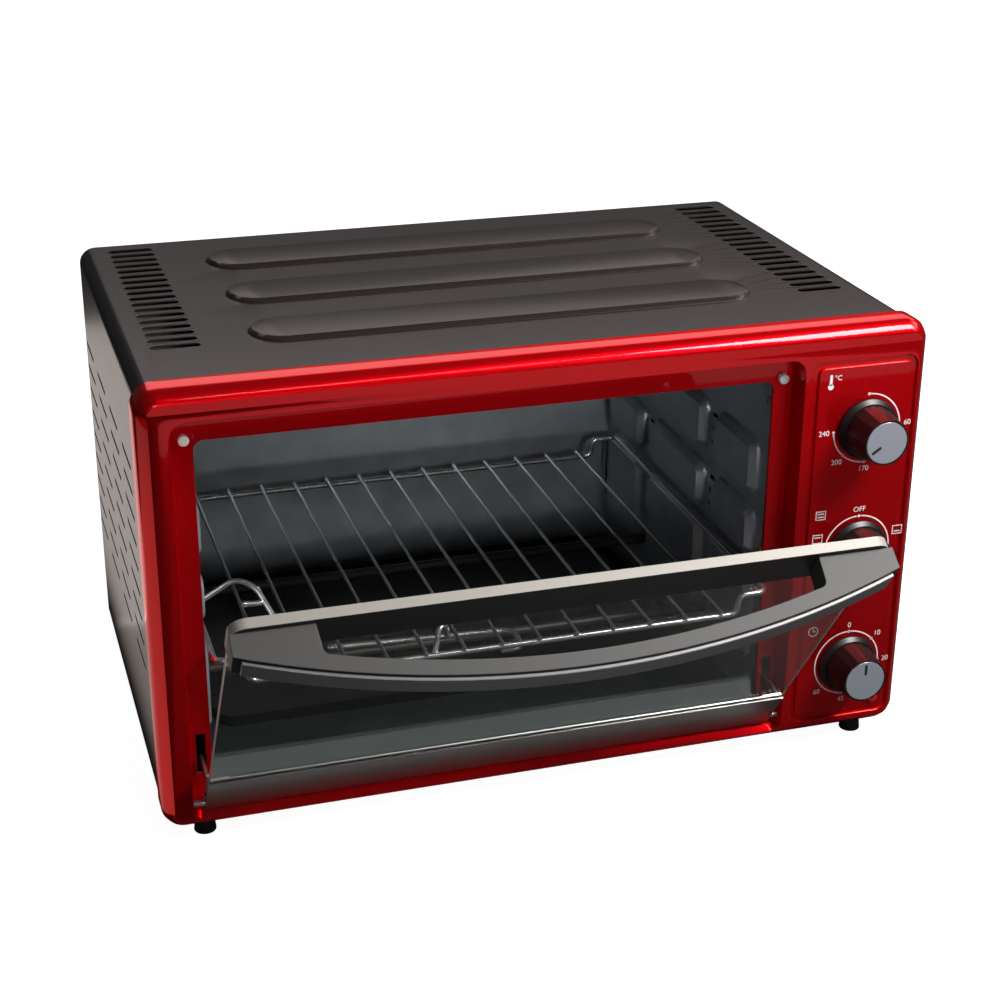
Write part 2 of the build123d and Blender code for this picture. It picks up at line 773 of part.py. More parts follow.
# Top trim: folded steel channel with rounded corners over the glass, drilled for the handle
handle_screw_up = door_length - handle_drop - handle_height / 2
post_middle = handle_length / 2 - post_width / 2
with BuildPart() as door_top_trim:
    with BuildSketch(door_plane(-trim_half)) as trim_outline:
        with Locations((0, door_length - top_trim_height / 2)):
            Rectangle(door_width, top_trim_height)
        fillet(trim_outline.vertices().group_by(Axis.Y)[-1], top_trim_corner)
    extrude(amount=2 * trim_half)
    with BuildSketch(door_plane(-trim_half + trim_sheet)) as trim_hollow:
        with Locations((0, door_length - top_trim_height / 2 - trim_sheet / 2)):
            Rectangle(door_width - 2 * trim_sheet, top_trim_height - trim_sheet)
        fillet(trim_hollow.vertices().group_by(Axis.Y)[-1], top_trim_corner - trim_sheet)
    extrude(amount=2 * (trim_half - trim_sheet), mode=Mode.SUBTRACT)
    with BuildSketch(door_plane(-trim_half)):
        with Locations((-post_middle, handle_screw_up), (post_middle, handle_screw_up)):
            RegularPolygon(handle_screw_radius + screw_fit, screw_sides)
    extrude(amount=2 * trim_half, mode=Mode.SUBTRACT)
save(door_top_trim, "door_top_trim")

# Bottom trim: drawn section that grips the glass above and is a closed box round the hinge axis below
with BuildPart() as door_bottom_trim:
    with BuildSketch(door_section(door_width / 2)):
        with Locations((0, (bottom_trim_top - bottom_trim_drop) / 2)):
            Rectangle(2 * trim_half, bottom_trim_top + bottom_trim_drop)
        with Locations((0, (bottom_trim_top + glass_bottom) / 2)):
            Rectangle(2 * (trim_half - trim_sheet), bottom_trim_top - glass_bottom, mode=Mode.SUBTRACT)
        box_low = pin_radius + trim_sheet
        box_top = glass_bottom - trim_sheet
        with Locations((0, (box_low + box_top) / 2)):
            Rectangle(2 * (trim_half - trim_sheet), box_top - box_low, mode=Mode.SUBTRACT)
    extrude(amount=door_width)
    with BuildSketch(side_plane(recess_x - door_width / 2)):
        with Locations((hinge_y, hinge_z)):
            Circle(pin_radius + pin_fit / 2)
    extrude(amount=door_width, mode=Mode.SUBTRACT)
save(door_bottom_trim, "door_bottom_trim")

# Hinge pins, held in the ends of the bottom trim and turning in the bezel
pin_reach = recess_width / 2 + pocket_wall / 2
for pin_name, side in (("hinge_pin_left", -1), ("hinge_pin_right", 1)):
    with BuildPart() as hinge_pin:
        with BuildSketch(side_plane(recess_x + side * pin_reach)):
            with Locations((hinge_y, hinge_z)):
                Circle(pin_radius)
        extrude(amount=-side * pin_length)
    save(hinge_pin, pin_name)

# Stay arms: curved strips about the hinge axis that run through the slots of the door seat
stay_inner = stay_radius - stay_width / 2
stay_outer = stay_radius + stay_width / 2
stay_start = 90 + degrees(asin((trim_half + stay_tab_sheet) / stay_inner))
stay_turns = [radians(stay_start + stay_sweep * step / stay_steps) for step in range(stay_steps + 1)]
for arm_name, side in (("stay_arm_left", -1), ("stay_arm_right", 1)):
    outer_x = side * door_width / 2
    arm_x = outer_x if side > 0 else outer_x + stay_sheet
    tab_x = outer_x if side > 0 else outer_x + stay_tab_width
    with BuildPart() as stay_arm:
        with BuildSketch(door_section(arm_x)):
            with BuildLine():
                Polyline(
                    (-trim_half, stay_inner),
                    *[(stay_inner * cos(turn), stay_inner * sin(turn)) for turn in stay_turns],
                    *[(stay_outer * cos(turn), stay_outer * sin(turn)) for turn in reversed(stay_turns)],
                    (-trim_half, stay_outer),
                    close=True,
                )
            make_face()
        extrude(amount=stay_sheet)
        with BuildSketch(door_section(tab_x)):
            with Locations((-trim_half - stay_tab_sheet / 2, stay_radius)):
                Rectangle(stay_tab_sheet, stay_tab_height)
        extrude(amount=stay_tab_width)
    save(stay_arm, arm_name)

# Handle: bowed bar with a wide post at each end, seen from above in its sketch
half = handle_length / 2
post_foot = half - post_width
inner_half_span = post_foot - post_slant
with BuildPart() as handle_bar:
    with BuildSketch(door_plan(door_length - handle_drop)) as bar_outline:
        with BuildLine():
            Line((-half, trim_half), (-half, handle_end_depth - strip_thickness))
            ThreePointArc(
                (-half, handle_end_depth - strip_thickness),
                (0, handle_depth - strip_thickness),
                (half, handle_end_depth - strip_thickness),
            )
            Polyline(
                (half, handle_end_depth - strip_thickness),
                (half, trim_half),
                (post_foot, trim_half),
                (inner_half_span, post_inner_depth),
            )
            ThreePointArc(
                (inner_half_span, post_inner_depth),
                (0, handle_depth - strip_thickness - bar_thickness),
                (-inner_half_span, post_inner_depth),
            )
            Polyline((-inner_half_span, post_inner_depth), (-post_foot, trim_half), (-half, trim_half))
        make_face()
        inner_corners = [
            corner
            for corner in bar_outline.vertices()
            if abs(corner.X) < half - post_width / 2 and corner.Y > post_inner_depth / 2
        ]
        fillet(inner_corners, post_fillet)
    extrude(amount=handle_height)
    with BuildSketch(door_plane(trim_half)):
        with Locations((-post_middle, handle_screw_up), (post_middle, handle_screw_up)):
            RegularPolygon(handle_screw_radius + screw_fit, screw_sides)
    extrude(amount=handle_screw_bite + handle_screw_end_gap, mode=Mode.SUBTRACT)
save(handle_bar, "handle_bar")

# Front strip of the handle
bow_radius = (half**2 + (handle_depth - handle_end_depth) ** 2) / (2 * (handle_depth - handle_end_depth))
strip_half = half - strip_setback
strip_end = handle_depth - strip_thickness - bow_radius + sqrt(bow_radius**2 - strip_half**2)
with BuildPart() as handle_strip:
    with BuildSketch(door_plan(door_length - handle_drop - (handle_height - strip_height) / 2)):
        with BuildLine():
            ThreePointArc(
                (-strip_half, strip_end), (0, handle_depth - strip_thickness), (strip_half, strip_end)
            )
            Line((strip_half, strip_end), (strip_half, strip_end + strip_thickness))
            ThreePointArc(
                (strip_half, strip_end + strip_thickness),
                (0, handle_depth),
                (-strip_half, strip_end + strip_thickness),
            )
            Line((-strip_half, strip_end + strip_thickness), (-strip_half, strip_end))
        make_face()
    extrude(amount=strip_height)
save(handle_strip, "handle_strip")

# Screws of the handle, with their heads on the oven side of the trim
with BuildPart() as handle_screws:
    with BuildSketch(door_plane(-trim_half)):
        with Locations((-post_middle, handle_screw_up), (post_middle, handle_screw_up)):
            RegularPolygon(screw_head_radius, screw_sides)
    extrude(amount=-screw_head_height)
    with BuildSketch(door_plane(-trim_half)):
        with Locations((-post_middle, handle_screw_up), (post_middle, handle_screw_up)):
            RegularPolygon(handle_screw_radius, screw_sides)
    extrude(amount=2 * trim_half + handle_screw_bite)
save(handle_screws, "handle_screws")

# Controls behind the panel: thermostat, function switch and timer, with a running bore for each shaft
control_sizes = {
    "thermostat": (thermostat_width, thermostat_height),
    "function_switch": (switch_width, switch_height),
    "timer": (timer_width, timer_height),
}
shaft_back_y = front_y - knob_gap - skirt_height + shaft_length - skirt_height
for (control_name, (control_width, control_height)), height in zip(control_sizes.items(), dial_heights):
    with BuildPart() as control:
        with BuildSketch(front_plane(panel_back_y + control_body_depth)):
            with Locations((dial_x, height)):
                Rectangle(control_width, control_height)
        extrude(amount=control_body_depth)
        with BuildSketch(front_plane(panel_back_y)):
            with Locations((dial_x, height)):
                RegularPolygon(shaft_radius + shaft_fit, shaft_hole_sides, major_radius=False)
        extrude(amount=panel_back_y - shaft_back_y - shaft_end_gap, mode=Mode.SUBTRACT)
    save(control, control_name)

# Knobs: round skirt, tapered grip of many flats, a cap let into the end and a shaft
knob_back_y = front_y - knob_gap
grip_base_y = knob_back_y - skirt_height
knob_top_y = grip_base_y - grip_height
knob_names = ("temperature", "function", "timer")
for knob_name, height in zip(knob_names, dial_heights):
    pointer_turn = temperature_angle if knob_name == "temperature" else 0
    with BuildPart() as knob:
        with BuildSketch(front_plane(knob_back_y)):
            with Locations((dial_x, height)):
                RegularPolygon(skirt_radius, skirt_sides)
        extrude(amount=skirt_height)
        chamfer(knob.faces().sort_by(Axis.Y)[0].edges(), skirt_chamfer)
        with BuildSketch(front_plane(grip_base_y)):
            with Locations((dial_x, height)):
                RegularPolygon(grip_base_radius, grip_sides)
        extrude(amount=grip_height)
        grip_face = knob.faces().sort_by(Axis.Y)[0]
        chamfer(grip_face.edges(), length=grip_draw_in, length2=grip_drawn_height, reference=grip_face)
        with BuildSketch(front_plane(knob_top_y + cap_depth)):
            with Locations((dial_x, height)):
                RegularPolygon(cap_radius + cap_fit, grip_sides)
        extrude(amount=cap_depth, mode=Mode.SUBTRACT)
        with BuildSketch(front_plane(knob_back_y)):
            with Locations((dial_x, height)):
                RegularPolygon(shaft_radius + shaft_fit, shaft_hole_sides, major_radius=False)
        extrude(amount=2 * skirt_height, mode=Mode.SUBTRACT)
    save(knob, f"{knob_name}_knob")
    with BuildPart() as cap:
        with BuildSketch(front_plane(knob_top_y + cap_depth)):
            with Locations((dial_x, height)):
                RegularPolygon(cap_radius, grip_sides)
                with Locations(Rotation(0, 0, pointer_turn)):
                    with Locations((0, pointer_offset)):
                        Rectangle(pointer_width, pointer_length, mode=Mode.SUBTRACT)
        extrude(amount=cap_depth)
    save(cap, f"{knob_name}_cap")
    with BuildPart() as shaft:
        with BuildSketch(front_plane(shaft_back_y)):
            with Locations((dial_x, height)):
                RegularPolygon(shaft_radius, shaft_sides)
        extrude(amount=shaft_length)
    save(shaft, f"{knob_name}_shaft")

# Pilot light: red lens through the panel and the lamp behind it
with BuildPart() as indicator_lens:
    with BuildSketch(front_plane(panel_back_y)):
        with Locations((lens_x, rise(lens_rise))):
            RegularPolygon(lens_radius, lens_sides)
    extrude(amount=face_wall + lens_stand)
    chamfer(indicator_lens.faces().sort_by(Axis.Y)[0].edges(), lens_round)
save(indicator_lens, "indicator_lens")

with BuildPart() as indicator_lamp:
    with BuildSketch(front_plane(panel_back_y + lamp_length)):
        with Locations((lens_x, rise(lens_rise))):
            RegularPolygon(lens_radius + lamp_wall, lamp_sides)
    extrude(amount=lamp_length)
save(indicator_lamp, "indicator_lamp")

# Cord gland in the rear panel
with BuildPart() as cord_gland:
    with BuildSketch(front_plane(rear_panel_y + gland_flange_length)):
        with Locations((gland_x, rise(gland_rise))):
            RegularPolygon(gland_radius + gland_flange, gland_sides)
            RegularPolygon(gland_bore, gland_sides, mode=Mode.SUBTRACT)
    extrude(amount=gland_flange_length)
    with BuildSketch(front_plane(rear_panel_y)):
        with Locations((gland_x, rise(gland_rise))):
            RegularPolygon(gland_radius, gland_sides)
            RegularPolygon(gland_bore, gland_sides, mode=Mode.SUBTRACT)
    extrude(amount=gland_length)
save(cord_gland, "cord_gland")

# Terminal block on the base pan, beside the cavity
with BuildPart() as terminal_block:
    with BuildSketch(Plane.XY.offset(base_z + sheet)):
        with Locations((dial_x, rear_panel_y - terminal_setback)):
            Rectangle(terminal_width, terminal_length)
    extrude(amount=terminal_height)
save(terminal_block, "terminal_block")

# Rack frame: one bent wire, low across the front and rear, raised at the sides to run in the channels
rack_front_y = depth(rack_front)
rack_rear_y = cavity_back_y - rack_back_gap
rack_depth = rack_rear_y - rack_front_y
rack_mid_y = (rack_front_y + rack_rear_y) / 2
side_z = rise(rack_side_rise)
grid_z = side_z - rack_drop
rail_x = cavity_width / 2 - rack_side_gap
step_x = rail_x - rack_step
with BuildPart() as rack_frame:
    for end_y, inward in ((rack_front_y, bend), (rack_rear_y, -bend)):
        with BuildLine() as half_loop:
            Polyline(
                (recess_x - rail_x, rack_mid_y, side_z),
                (recess_x - rail_x, end_y + inward, side_z),
                (recess_x - rail_x + bend, end_y, side_z),
                (recess_x - step_x - bend, end_y, side_z),
                (recess_x - step_x, end_y, side_z - bend),
                (recess_x - step_x, end_y, grid_z + bend),
                (recess_x - step_x + bend, end_y, grid_z),
                (recess_x + step_x - bend, end_y, grid_z),
                (recess_x + step_x, end_y, grid_z + bend),
                (recess_x + step_x, end_y, side_z - bend),
                (recess_x + step_x + bend, end_y, side_z),
                (recess_x + rail_x - bend, end_y, side_z),
                (recess_x + rail_x, end_y + inward, side_z),
                (recess_x + rail_x, rack_mid_y, side_z),
            )
        with BuildSketch(Plane(origin=half_loop.line @ 0, z_dir=half_loop.line % 0)):
            RegularPolygon(rail_radius, wire_sides)
        sweep(path=half_loop.line, transition=Transition.RIGHT)
save(rack_frame, "rack_frame")

# Thin wires of the rack, lying on the front and rear rails
wire_z = grid_z + rail_radius + wire_radius + weld_gap
wire_pitch = 2 * (rail_x - wire_side_margin) / (wire_count - 1)
with BuildPart() as rack_wires:
    with BuildSketch(front_plane(rack_rear_y + rail_radius)):
        with Locations((recess_x, wire_z)):
            with GridLocations(wire_pitch, 0, wire_count, 1):
                RegularPolygon(wire_radius, wire_sides)
    extrude(amount=rack_depth + 2 * rail_radius)
save(rack_wires, "rack_wires")

# Formed wires of the rack: the pull loop at the front, its bridge, and the arch at the left
loop_left = recess_x - loop_left_reach
loop_right = recess_x + loop_right_reach
loop_y = rack_front_y + loop_depth
loop_front_y = rack_front_y + rail_radius + wire_radius + weld_gap
loop_z = grid_z - rail_radius - wire_radius - weld_gap
bridge_x = recess_x - bridge_left
arch_foot_x = recess_x - rail_x + arch_side
with BuildPart() as rack_loops:
    with BuildLine() as pull_loop:
        Polyline(
            (loop_left, loop_y, loop_z),
            (loop_right, loop_y, loop_z),
            (loop_right + loop_bow, loop_y - loop_bow, loop_z),
            (loop_right + loop_bow, rack_front_y + loop_bow, loop_z),
            (loop_right, rack_front_y, loop_z),
        )
    with BuildSketch(Plane(origin=pull_loop.line @ 0, z_dir=pull_loop.line % 0)):
        RegularPolygon(wire_radius, wire_sides)
    sweep(path=pull_loop.line, transition=Transition.RIGHT)
    with BuildLine() as bridge:
        Polyline(
            (bridge_x - bridge_span / 2, loop_front_y, grid_z),
            (bridge_x - bridge_span / 4, loop_front_y, grid_z + bridge_height),
            (bridge_x + bridge_span / 4, loop_front_y, grid_z + bridge_height),
            (bridge_x + bridge_span / 2, loop_front_y, grid_z),
        )
    with BuildSketch(Plane(origin=bridge.line @ 0, z_dir=bridge.line % 0)):
        RegularPolygon(wire_radius, wire_sides)
    sweep(path=bridge.line, transition=Transition.RIGHT)
    with BuildLine() as arch:
        Polyline(
            (arch_foot_x, depth(arch_rear), side_z),
            (arch_foot_x + arch_span / 4, depth(arch_rear), side_z + arch_height),
            (arch_foot_x + arch_span * 3 / 4, depth(arch_rear), side_z + arch_height),
            (arch_foot_x + arch_span, depth(arch_front), wire_z + 2 * wire_radius + weld_gap),
        )
    with BuildSketch(Plane(origin=arch.line @ 0, z_dir=arch.line % 0)):
        RegularPolygon(wire_radius, wire_sides)
    sweep(path=arch.line, transition=Transition.RIGHT)
save(rack_loops, "rack_loops")
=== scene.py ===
import json
import math
import bmesh
import bpy
from mathutils import Matrix, Vector


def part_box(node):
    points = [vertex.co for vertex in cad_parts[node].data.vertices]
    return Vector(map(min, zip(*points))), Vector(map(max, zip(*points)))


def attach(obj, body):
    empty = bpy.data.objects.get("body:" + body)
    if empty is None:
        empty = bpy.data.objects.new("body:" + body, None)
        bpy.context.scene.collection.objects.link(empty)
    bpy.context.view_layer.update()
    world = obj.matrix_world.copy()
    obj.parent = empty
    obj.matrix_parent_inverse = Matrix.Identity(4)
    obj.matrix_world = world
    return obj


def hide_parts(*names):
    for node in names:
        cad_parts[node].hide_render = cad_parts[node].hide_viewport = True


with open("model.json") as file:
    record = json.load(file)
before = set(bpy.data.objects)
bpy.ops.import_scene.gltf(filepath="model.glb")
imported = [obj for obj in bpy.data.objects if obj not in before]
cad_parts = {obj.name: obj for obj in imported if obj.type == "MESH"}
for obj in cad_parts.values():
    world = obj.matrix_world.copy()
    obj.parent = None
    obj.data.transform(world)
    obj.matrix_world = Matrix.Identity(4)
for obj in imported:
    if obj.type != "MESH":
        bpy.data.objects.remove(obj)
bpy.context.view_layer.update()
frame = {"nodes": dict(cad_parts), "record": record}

nodes = frame["nodes"]
scene = bpy.context.scene
bodyOf = {n: b for b, names in frame["record"]["behaviour"]["bodies"].items() for n in names}
mm = 0.001


# materials

def shader(name, color, rough, metal=0.0, **extra):
    mat = bpy.data.materials.new(name)
    mat.use_nodes = True
    bsdf = mat.node_tree.nodes["Principled BSDF"]
    bsdf.inputs["Base Color"].default_value = (*color, 1.0)
    bsdf.inputs["Roughness"].default_value = rough
    bsdf.inputs["Metallic"].default_value = metal
    for key, value in extra.items():
        bsdf.inputs[key.replace("_", " ")].default_value = value
    return mat


def coordinates(mat, scale):
    tree = mat.node_tree
    coord = tree.nodes.new("ShaderNodeTexCoord")
    mapping = tree.nodes.new("ShaderNodeMapping")
    mapping.inputs["Scale"].default_value = scale
    tree.links.new(coord.outputs["Object"], mapping.inputs["Vector"])
    return mapping.outputs["Vector"]


def grain(mat, scale, strength, distance, detail=2.0, rough=None, color=None):
    tree = mat.node_tree
    bsdf = tree.nodes["Principled BSDF"]
    noise = tree.nodes.new("ShaderNodeTexNoise")
    noise.inputs["Scale"].default_value = 1.0
    noise.inputs["Detail"].default_value = detail
    tree.links.new(coordinates(mat, scale), noise.inputs["Vector"])
    if strength:
        bump = tree.nodes.new("ShaderNodeBump")
        bump.inputs["Strength"].default_value = strength
        bump.inputs["Distance"].default_value = distance
        tree.links.new(noise.outputs["Fac"], bump.inputs["Height"])
        tree.links.new(bump.outputs["Normal"], bsdf.inputs["Normal"])
    if rough:
        spread = tree.nodes.new("ShaderNodeMapRange")
        spread.inputs["To Min"].default_value = rough[0]
        spread.inputs["To Max"].default_value = rough[1]
        tree.links.new(noise.outputs["Fac"], spread.inputs["Value"])
        tree.links.new(spread.outputs["Result"], bsdf.inputs["Roughness"])
    if color:
        ramp = tree.nodes.new("ShaderNodeValToRGB")
        ramp.color_ramp.elements[0].position = 0.3
        ramp.color_ramp.elements[1].position = 0.7
        ramp.color_ramp.elements[0].color = (*color[0], 1.0)
        ramp.color_ramp.elements[1].color = (*color[1], 1.0)
        tree.links.new(noise.outputs["Fac"], ramp.inputs["Fac"])
        tree.links.new(ramp.outputs["Color"], bsdf.inputs["Base Color"])
    return mat


enamel = grain(shader("enamel", (0.72, 0.001, 0.005), 0.28, 0.78, Coat_Weight=0.5, Coat_Roughness=0.03,
                      Specular_IOR_Level=0.1, Specular_Tint=(1.0, 0.12, 0.12, 1.0)),
               (2600, 2600, 2600), 0.04, 0.00005, color=((0.66, 0.001, 0.004), (0.78, 0.001, 0.006)))
darkCoat = grain(shader("darkCoat", (0.018, 0.014, 0.013), 0.28, Specular_IOR_Level=0.3,
                        Specular_Tint=(1.0, 0.74, 0.70, 1.0)),
                 (1500, 1500, 1500), 0.12, 0.00008, rough=(0.24, 0.34))
zinc = grain(shader("zinc", (0.42, 0.46, 0.49), 0.36, 0.65), (60, 60, 60), 0.0, 0.0, detail=4.0,
             rough=(0.30, 0.44), color=((0.38, 0.42, 0.45), (0.46, 0.50, 0.53)))
# cavity floor zinc, its base colour far darker than the walls' zinc: painted shade on the cavity floor
shadedSillZinc = grain(shader("shadedSillZinc", (0.045, 0.056, 0.056), 0.34, 0.7), (60, 60, 60), 0.0, 0.0, detail=4.0,
                 rough=(0.28, 0.4), color=((0.035, 0.046, 0.046), (0.055, 0.066, 0.066)))
# dark steel for the crumb tray and the cavity top, its base colour darkened as painted shade of the lower
# cavity and of the space under the top vents
shadedFloorSteel = grain(shader("shadedFloorSteel", (0.032, 0.028, 0.026), 0.3, 0.8), (45, 45, 45), 0.04, 0.0002,
                   detail=4.0, rough=(0.22, 0.4))
brushed = grain(shader("brushed", (0.46, 0.44, 0.43), 0.3, 0.95), (6, 1400, 1400), 0.08, 0.00005,
                rough=(0.24, 0.42))  # lines run along the door
# dark rod sheath, its base colour darkened further as painted shade inside the cavity
rodSteelShaded = grain(shader("rodSteelShaded", (0.05, 0.045, 0.04), 0.45, 0.6), (250, 250, 250), 0.08, 0.0001,
                 rough=(0.38, 0.55))
chromeWire = grain(shader("chromeWire", (0.56, 0.56, 0.58), 0.24, 0.9), (300, 300, 300), 0, 0,
                   rough=(0.18, 0.3))
brassMat = grain(shader("brassMat", (0.62, 0.44, 0.16), 0.3, 1.0), (600, 600, 600), 0, 0, rough=(0.22, 0.4))
steelScrew = grain(shader("steelScrew", (0.5, 0.5, 0.5), 0.32, 1.0), (600, 600, 600), 0, 0,
                   rough=(0.25, 0.42))
rubberMat = grain(shader("rubberMat", (0.012, 0.012, 0.012), 0.65), (900, 900, 900), 0.1, 0.0001,
                  rough=(0.55, 0.75))
siliconeMat = grain(shader("siliconeMat", (0.72, 0.71, 0.70), 0.5), (900, 900, 900), 0.05, 0.0001,
                    rough=(0.42, 0.6))
handleGrey = grain(shader("handleGrey", (0.075, 0.073, 0.07), 0.5, Specular_IOR_Level=0.25),
                   (1800, 1800, 1800), 0.1, 0.00006, rough=(0.44, 0.56))
# grey of the handle's front strip, raised to stand in for the reflection of the bright table: partly its own
# colour, partly painted reflection
stripGreyAndSheen = grain(shader("stripGreyAndSheen", (0.19, 0.185, 0.19), 0.38, 0.2), (1800, 1800, 1800), 0.1, 0.00006,
                  rough=(0.32, 0.46))
knobDark = grain(shader("knobDark", (0.007, 0.004, 0.004), 0.32), (1500, 1500, 1500), 0.06, 0.00006,
                 rough=(0.3, 0.44))
capGrey = grain(shader("capGrey", (0.34, 0.36, 0.42), 0.36, 0.3), (1500, 1500, 1500), 0.06, 0.00005,
                rough=(0.28, 0.4))
blackPlastic = grain(shader("blackPlastic", (0.015, 0.015, 0.015), 0.5), (800, 800, 800), 0.08, 0.0001,
                     rough=(0.42, 0.6))
ceramicMat = grain(shader("ceramicMat", (0.70, 0.68, 0.63), 0.55), (400, 400, 400), 0.08, 0.0001,
                   rough=(0.45, 0.65))
lensRed = shader("lensRed", (0.45, 0.01, 0.01), 0.12, 0.0, Coat_Weight=0.6)
charcoal = grain(shader("charcoal", (0.065, 0.061, 0.060), 0.34, 0.6), (6, 1400, 1400), 0.08, 0.00005,
                 rough=(0.28, 0.42))
# lighter finish for the upward faces of the door's top trim: painted highlight from the light above
litTrimTop = grain(shader("litTrimTop", (0.33, 0.31, 0.28), 0.45, 0.1, Specular_IOR_Level=0.25),
              (6, 1400, 1400), 0.05, 0.00005, rough=(0.36, 0.5))
printWhite = shader("printWhite", (0.86, 0.85, 0.85), 0.45)
glassEdge = shader("glassEdge", (0.62, 0.68, 0.62), 0.3, Transmission_Weight=0.3)
glassMat = shader("glassMat", (0.93, 0.985, 0.965), 0.0, 0.0, Transmission_Weight=1.0, IOR=1.5)
print("materials ready")


# helpers that make or copy a piece

def place(obj, body, mat, *stands):
    scene.collection.objects.link(obj)
    obj.data.materials.clear()
    obj.data.materials.append(mat)
    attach(obj, body)
    if stands:
        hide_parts(*stands)
    return obj


def finishMesh(bm, name, sharp=35.0):
    bmesh.ops.recalc_face_normals(bm, faces=bm.faces)
    mesh = bpy.data.meshes.new(name)
    bm.to_mesh(mesh)
    bm.free()
    mesh.shade_smooth()
    mesh.set_sharp_from_angle(angle=math.radians(sharp))
    return bpy.data.objects.new(name, mesh)


def mergedMesh(node, flatten=True):
    bm = bmesh.new()
    bm.from_mesh(nodes[node].data)
    bmesh.ops.remove_doubles(bm, verts=bm.verts, dist=2e-6)
    if flatten:
        bmesh.ops.dissolve_limit(bm, angle_limit=math.radians(1.0), verts=bm.verts, edges=bm.edges)
    return bm


def roundEdges(bm, offset, pick, segments=3, angle=25.0):
    edges = [e for e in bm.edges if e.is_manifold and e.calc_face_angle() > math.radians(angle) and pick(e)]
    bmesh.ops.bevel(bm, geom=edges, offset=offset, offset_type="OFFSET", segments=segments, profile=0.5,
                    affect="EDGES", clamp_overlap=True, material=-1)


def flatLook(obj):
    keep = obj.modifiers.new("weighted", "WEIGHTED_NORMAL")
    keep.keep_sharp = True
    return obj


def smoothCopy(node, name, mat, offset=0.0, sharp=35.0, angle=25.0):
    bm = mergedMesh(node)
    if offset:
        roundEdges(bm, offset, lambda e: True, angle=angle)
    return flatLook(place(finishMesh(bm, name, sharp), bodyOf[node], mat, node))


def middle(e):
    return (e.verts[0].co + e.verts[1].co) / 2


def backCentre(low, high):
    return Vector(((low.x + high.x) / 2, high.y, (low.z + high.z) / 2))


def vertsOf(geom):
    return [g for g in geom if isinstance(g, bmesh.types.BMVert)]


def edgesOf(geom):
    return [g for g in geom if isinstance(g, bmesh.types.BMEdge)]


def meshOf(holder):
    scene.collection.objects.link(holder)
    mesh = bpy.data.meshes.new_from_object(holder.evaluated_get(bpy.context.evaluated_depsgraph_get()))
    bpy.data.objects.remove(holder)
    return mesh


# red bezel, rounded along the front crease, the door seat and the panel groove
bezelSet = {"crease": 0.7 * mm, "mouth": 1.5 * mm, "groove": 0.6 * mm, "window": 5.5 * mm,
            "seatLeft": 12 * mm, "seatRight": 0.150, "windowSides": (-0.197, 0.135),
            "mouthFromTop": 10 * mm, "mouthFromBase": 8 * mm,
            "creaseFrom": 5 * mm, "creaseTo": 8 * mm, "creaseLong": 9 * mm}
bezelLow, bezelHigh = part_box("front_bezel")


def onFront(e):
    return abs(middle(e).y - bezelLow.y) < 0.05 * mm


def inSeat(e):
    return bezelLow.x + bezelSet["seatLeft"] < middle(e).x < bezelSet["seatRight"]


def mouthEdge(e):
    base, top = bezelLow.z + bezelSet["mouthFromBase"], bezelHigh.z - bezelSet["mouthFromTop"]
    return onFront(e) and inSeat(e) and base < middle(e).z < top


def windowEdge(e):
    step = e.verts[1].co - e.verts[0].co
    through = abs(step.y) > 1.5 * mm and step.length - abs(step.y) < 0.01 * mm
    aside = min(abs(middle(e).x - side) for side in bezelSet["windowSides"])
    return inSeat(e) and through and aside < 0.5 * mm


def creaseEdge(e):
    spot = middle(e)
    inward = min(spot.x - bezelLow.x, bezelHigh.x - spot.x, spot.z - bezelLow.z, bezelHigh.z - spot.z)
    onCrease = bezelSet["creaseFrom"] < inward < bezelSet["creaseTo"]
    return onFront(e) and not inSeat(e) and onCrease and e.calc_length() > bezelSet["creaseLong"]


def grooveEdge(e):
    return onFront(e) and not inSeat(e) and e.calc_length() > 0.4 * mm


bezelMesh = mergedMesh("front_bezel")
roundEdges(bezelMesh, bezelSet["mouth"], mouthEdge, angle=40.0)
roundEdges(bezelMesh, bezelSet["window"], windowEdge, segments=6, angle=60.0)
roundEdges(bezelMesh, bezelSet["crease"], creaseEdge, angle=15.0)
roundEdges(bezelMesh, bezelSet["groove"], grooveEdge, angle=60.0)
flatLook(place(finishMesh(bezelMesh, "bezel", 40.0), "oven", enamel, "front_bezel"))
print("bezel ready")

# sheet metal of the body, with the ends of its slots rounded
wrapSet = {"ventRound": 2.8 * mm, "slotRound": 1.4 * mm, "sheet": 0.8 * mm, "hem": 1 * mm}
wrapLow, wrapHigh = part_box("outer_wrapper")


def alongAxis(e, axis, length):
    step = e.verts[1].co - e.verts[0].co
    return abs(abs(step[axis]) - length) < 0.02 * mm and step.length - abs(step[axis]) < 0.01 * mm


def ventEdge(e):
    return alongAxis(e, 2, wrapSet["sheet"])


def slotEdge(e):
    clear = wrapLow.y + wrapSet["hem"] < middle(e).y < wrapHigh.y - wrapSet["hem"]
    return alongAxis(e, 0, wrapSet["sheet"]) and clear and middle(e).z > wrapLow.z + wrapSet["hem"]


wrapMesh = mergedMesh("outer_wrapper", flatten=False)
roundEdges(wrapMesh, wrapSet["ventRound"], ventEdge, segments=4, angle=60.0)
roundEdges(wrapMesh, wrapSet["slotRound"], slotEdge, segments=4, angle=60.0)
flatLook(place(finishMesh(wrapMesh, "wrapper", 30.0), "oven", darkCoat, "outer_wrapper"))

# cavity walls, with the pressed pads softened
wallSet = {"padRound": 2.6 * mm, "footRound": 1.2 * mm, "wallFace": 168 * mm, "middle": -31 * mm,
           "padLeast": 5 * mm, "footLeast": 1.5 * mm, "footMost": 3 * mm}


def riseOf(spot):
    return wallSet["wallFace"] - abs(spot.x - wallSet["middle"])


def levelEdge(e, least):
    rise = [riseOf(v.co) for v in e.verts]
    return min(rise) > least and max(rise) - min(rise) < 0.1 * mm and e.calc_length() > 2 * mm


def padEdge(e):
    return levelEdge(e, wallSet["padLeast"])


def footEdge(e):
    return riseOf(middle(e)) < wallSet["footMost"] and levelEdge(e, wallSet["footLeast"])


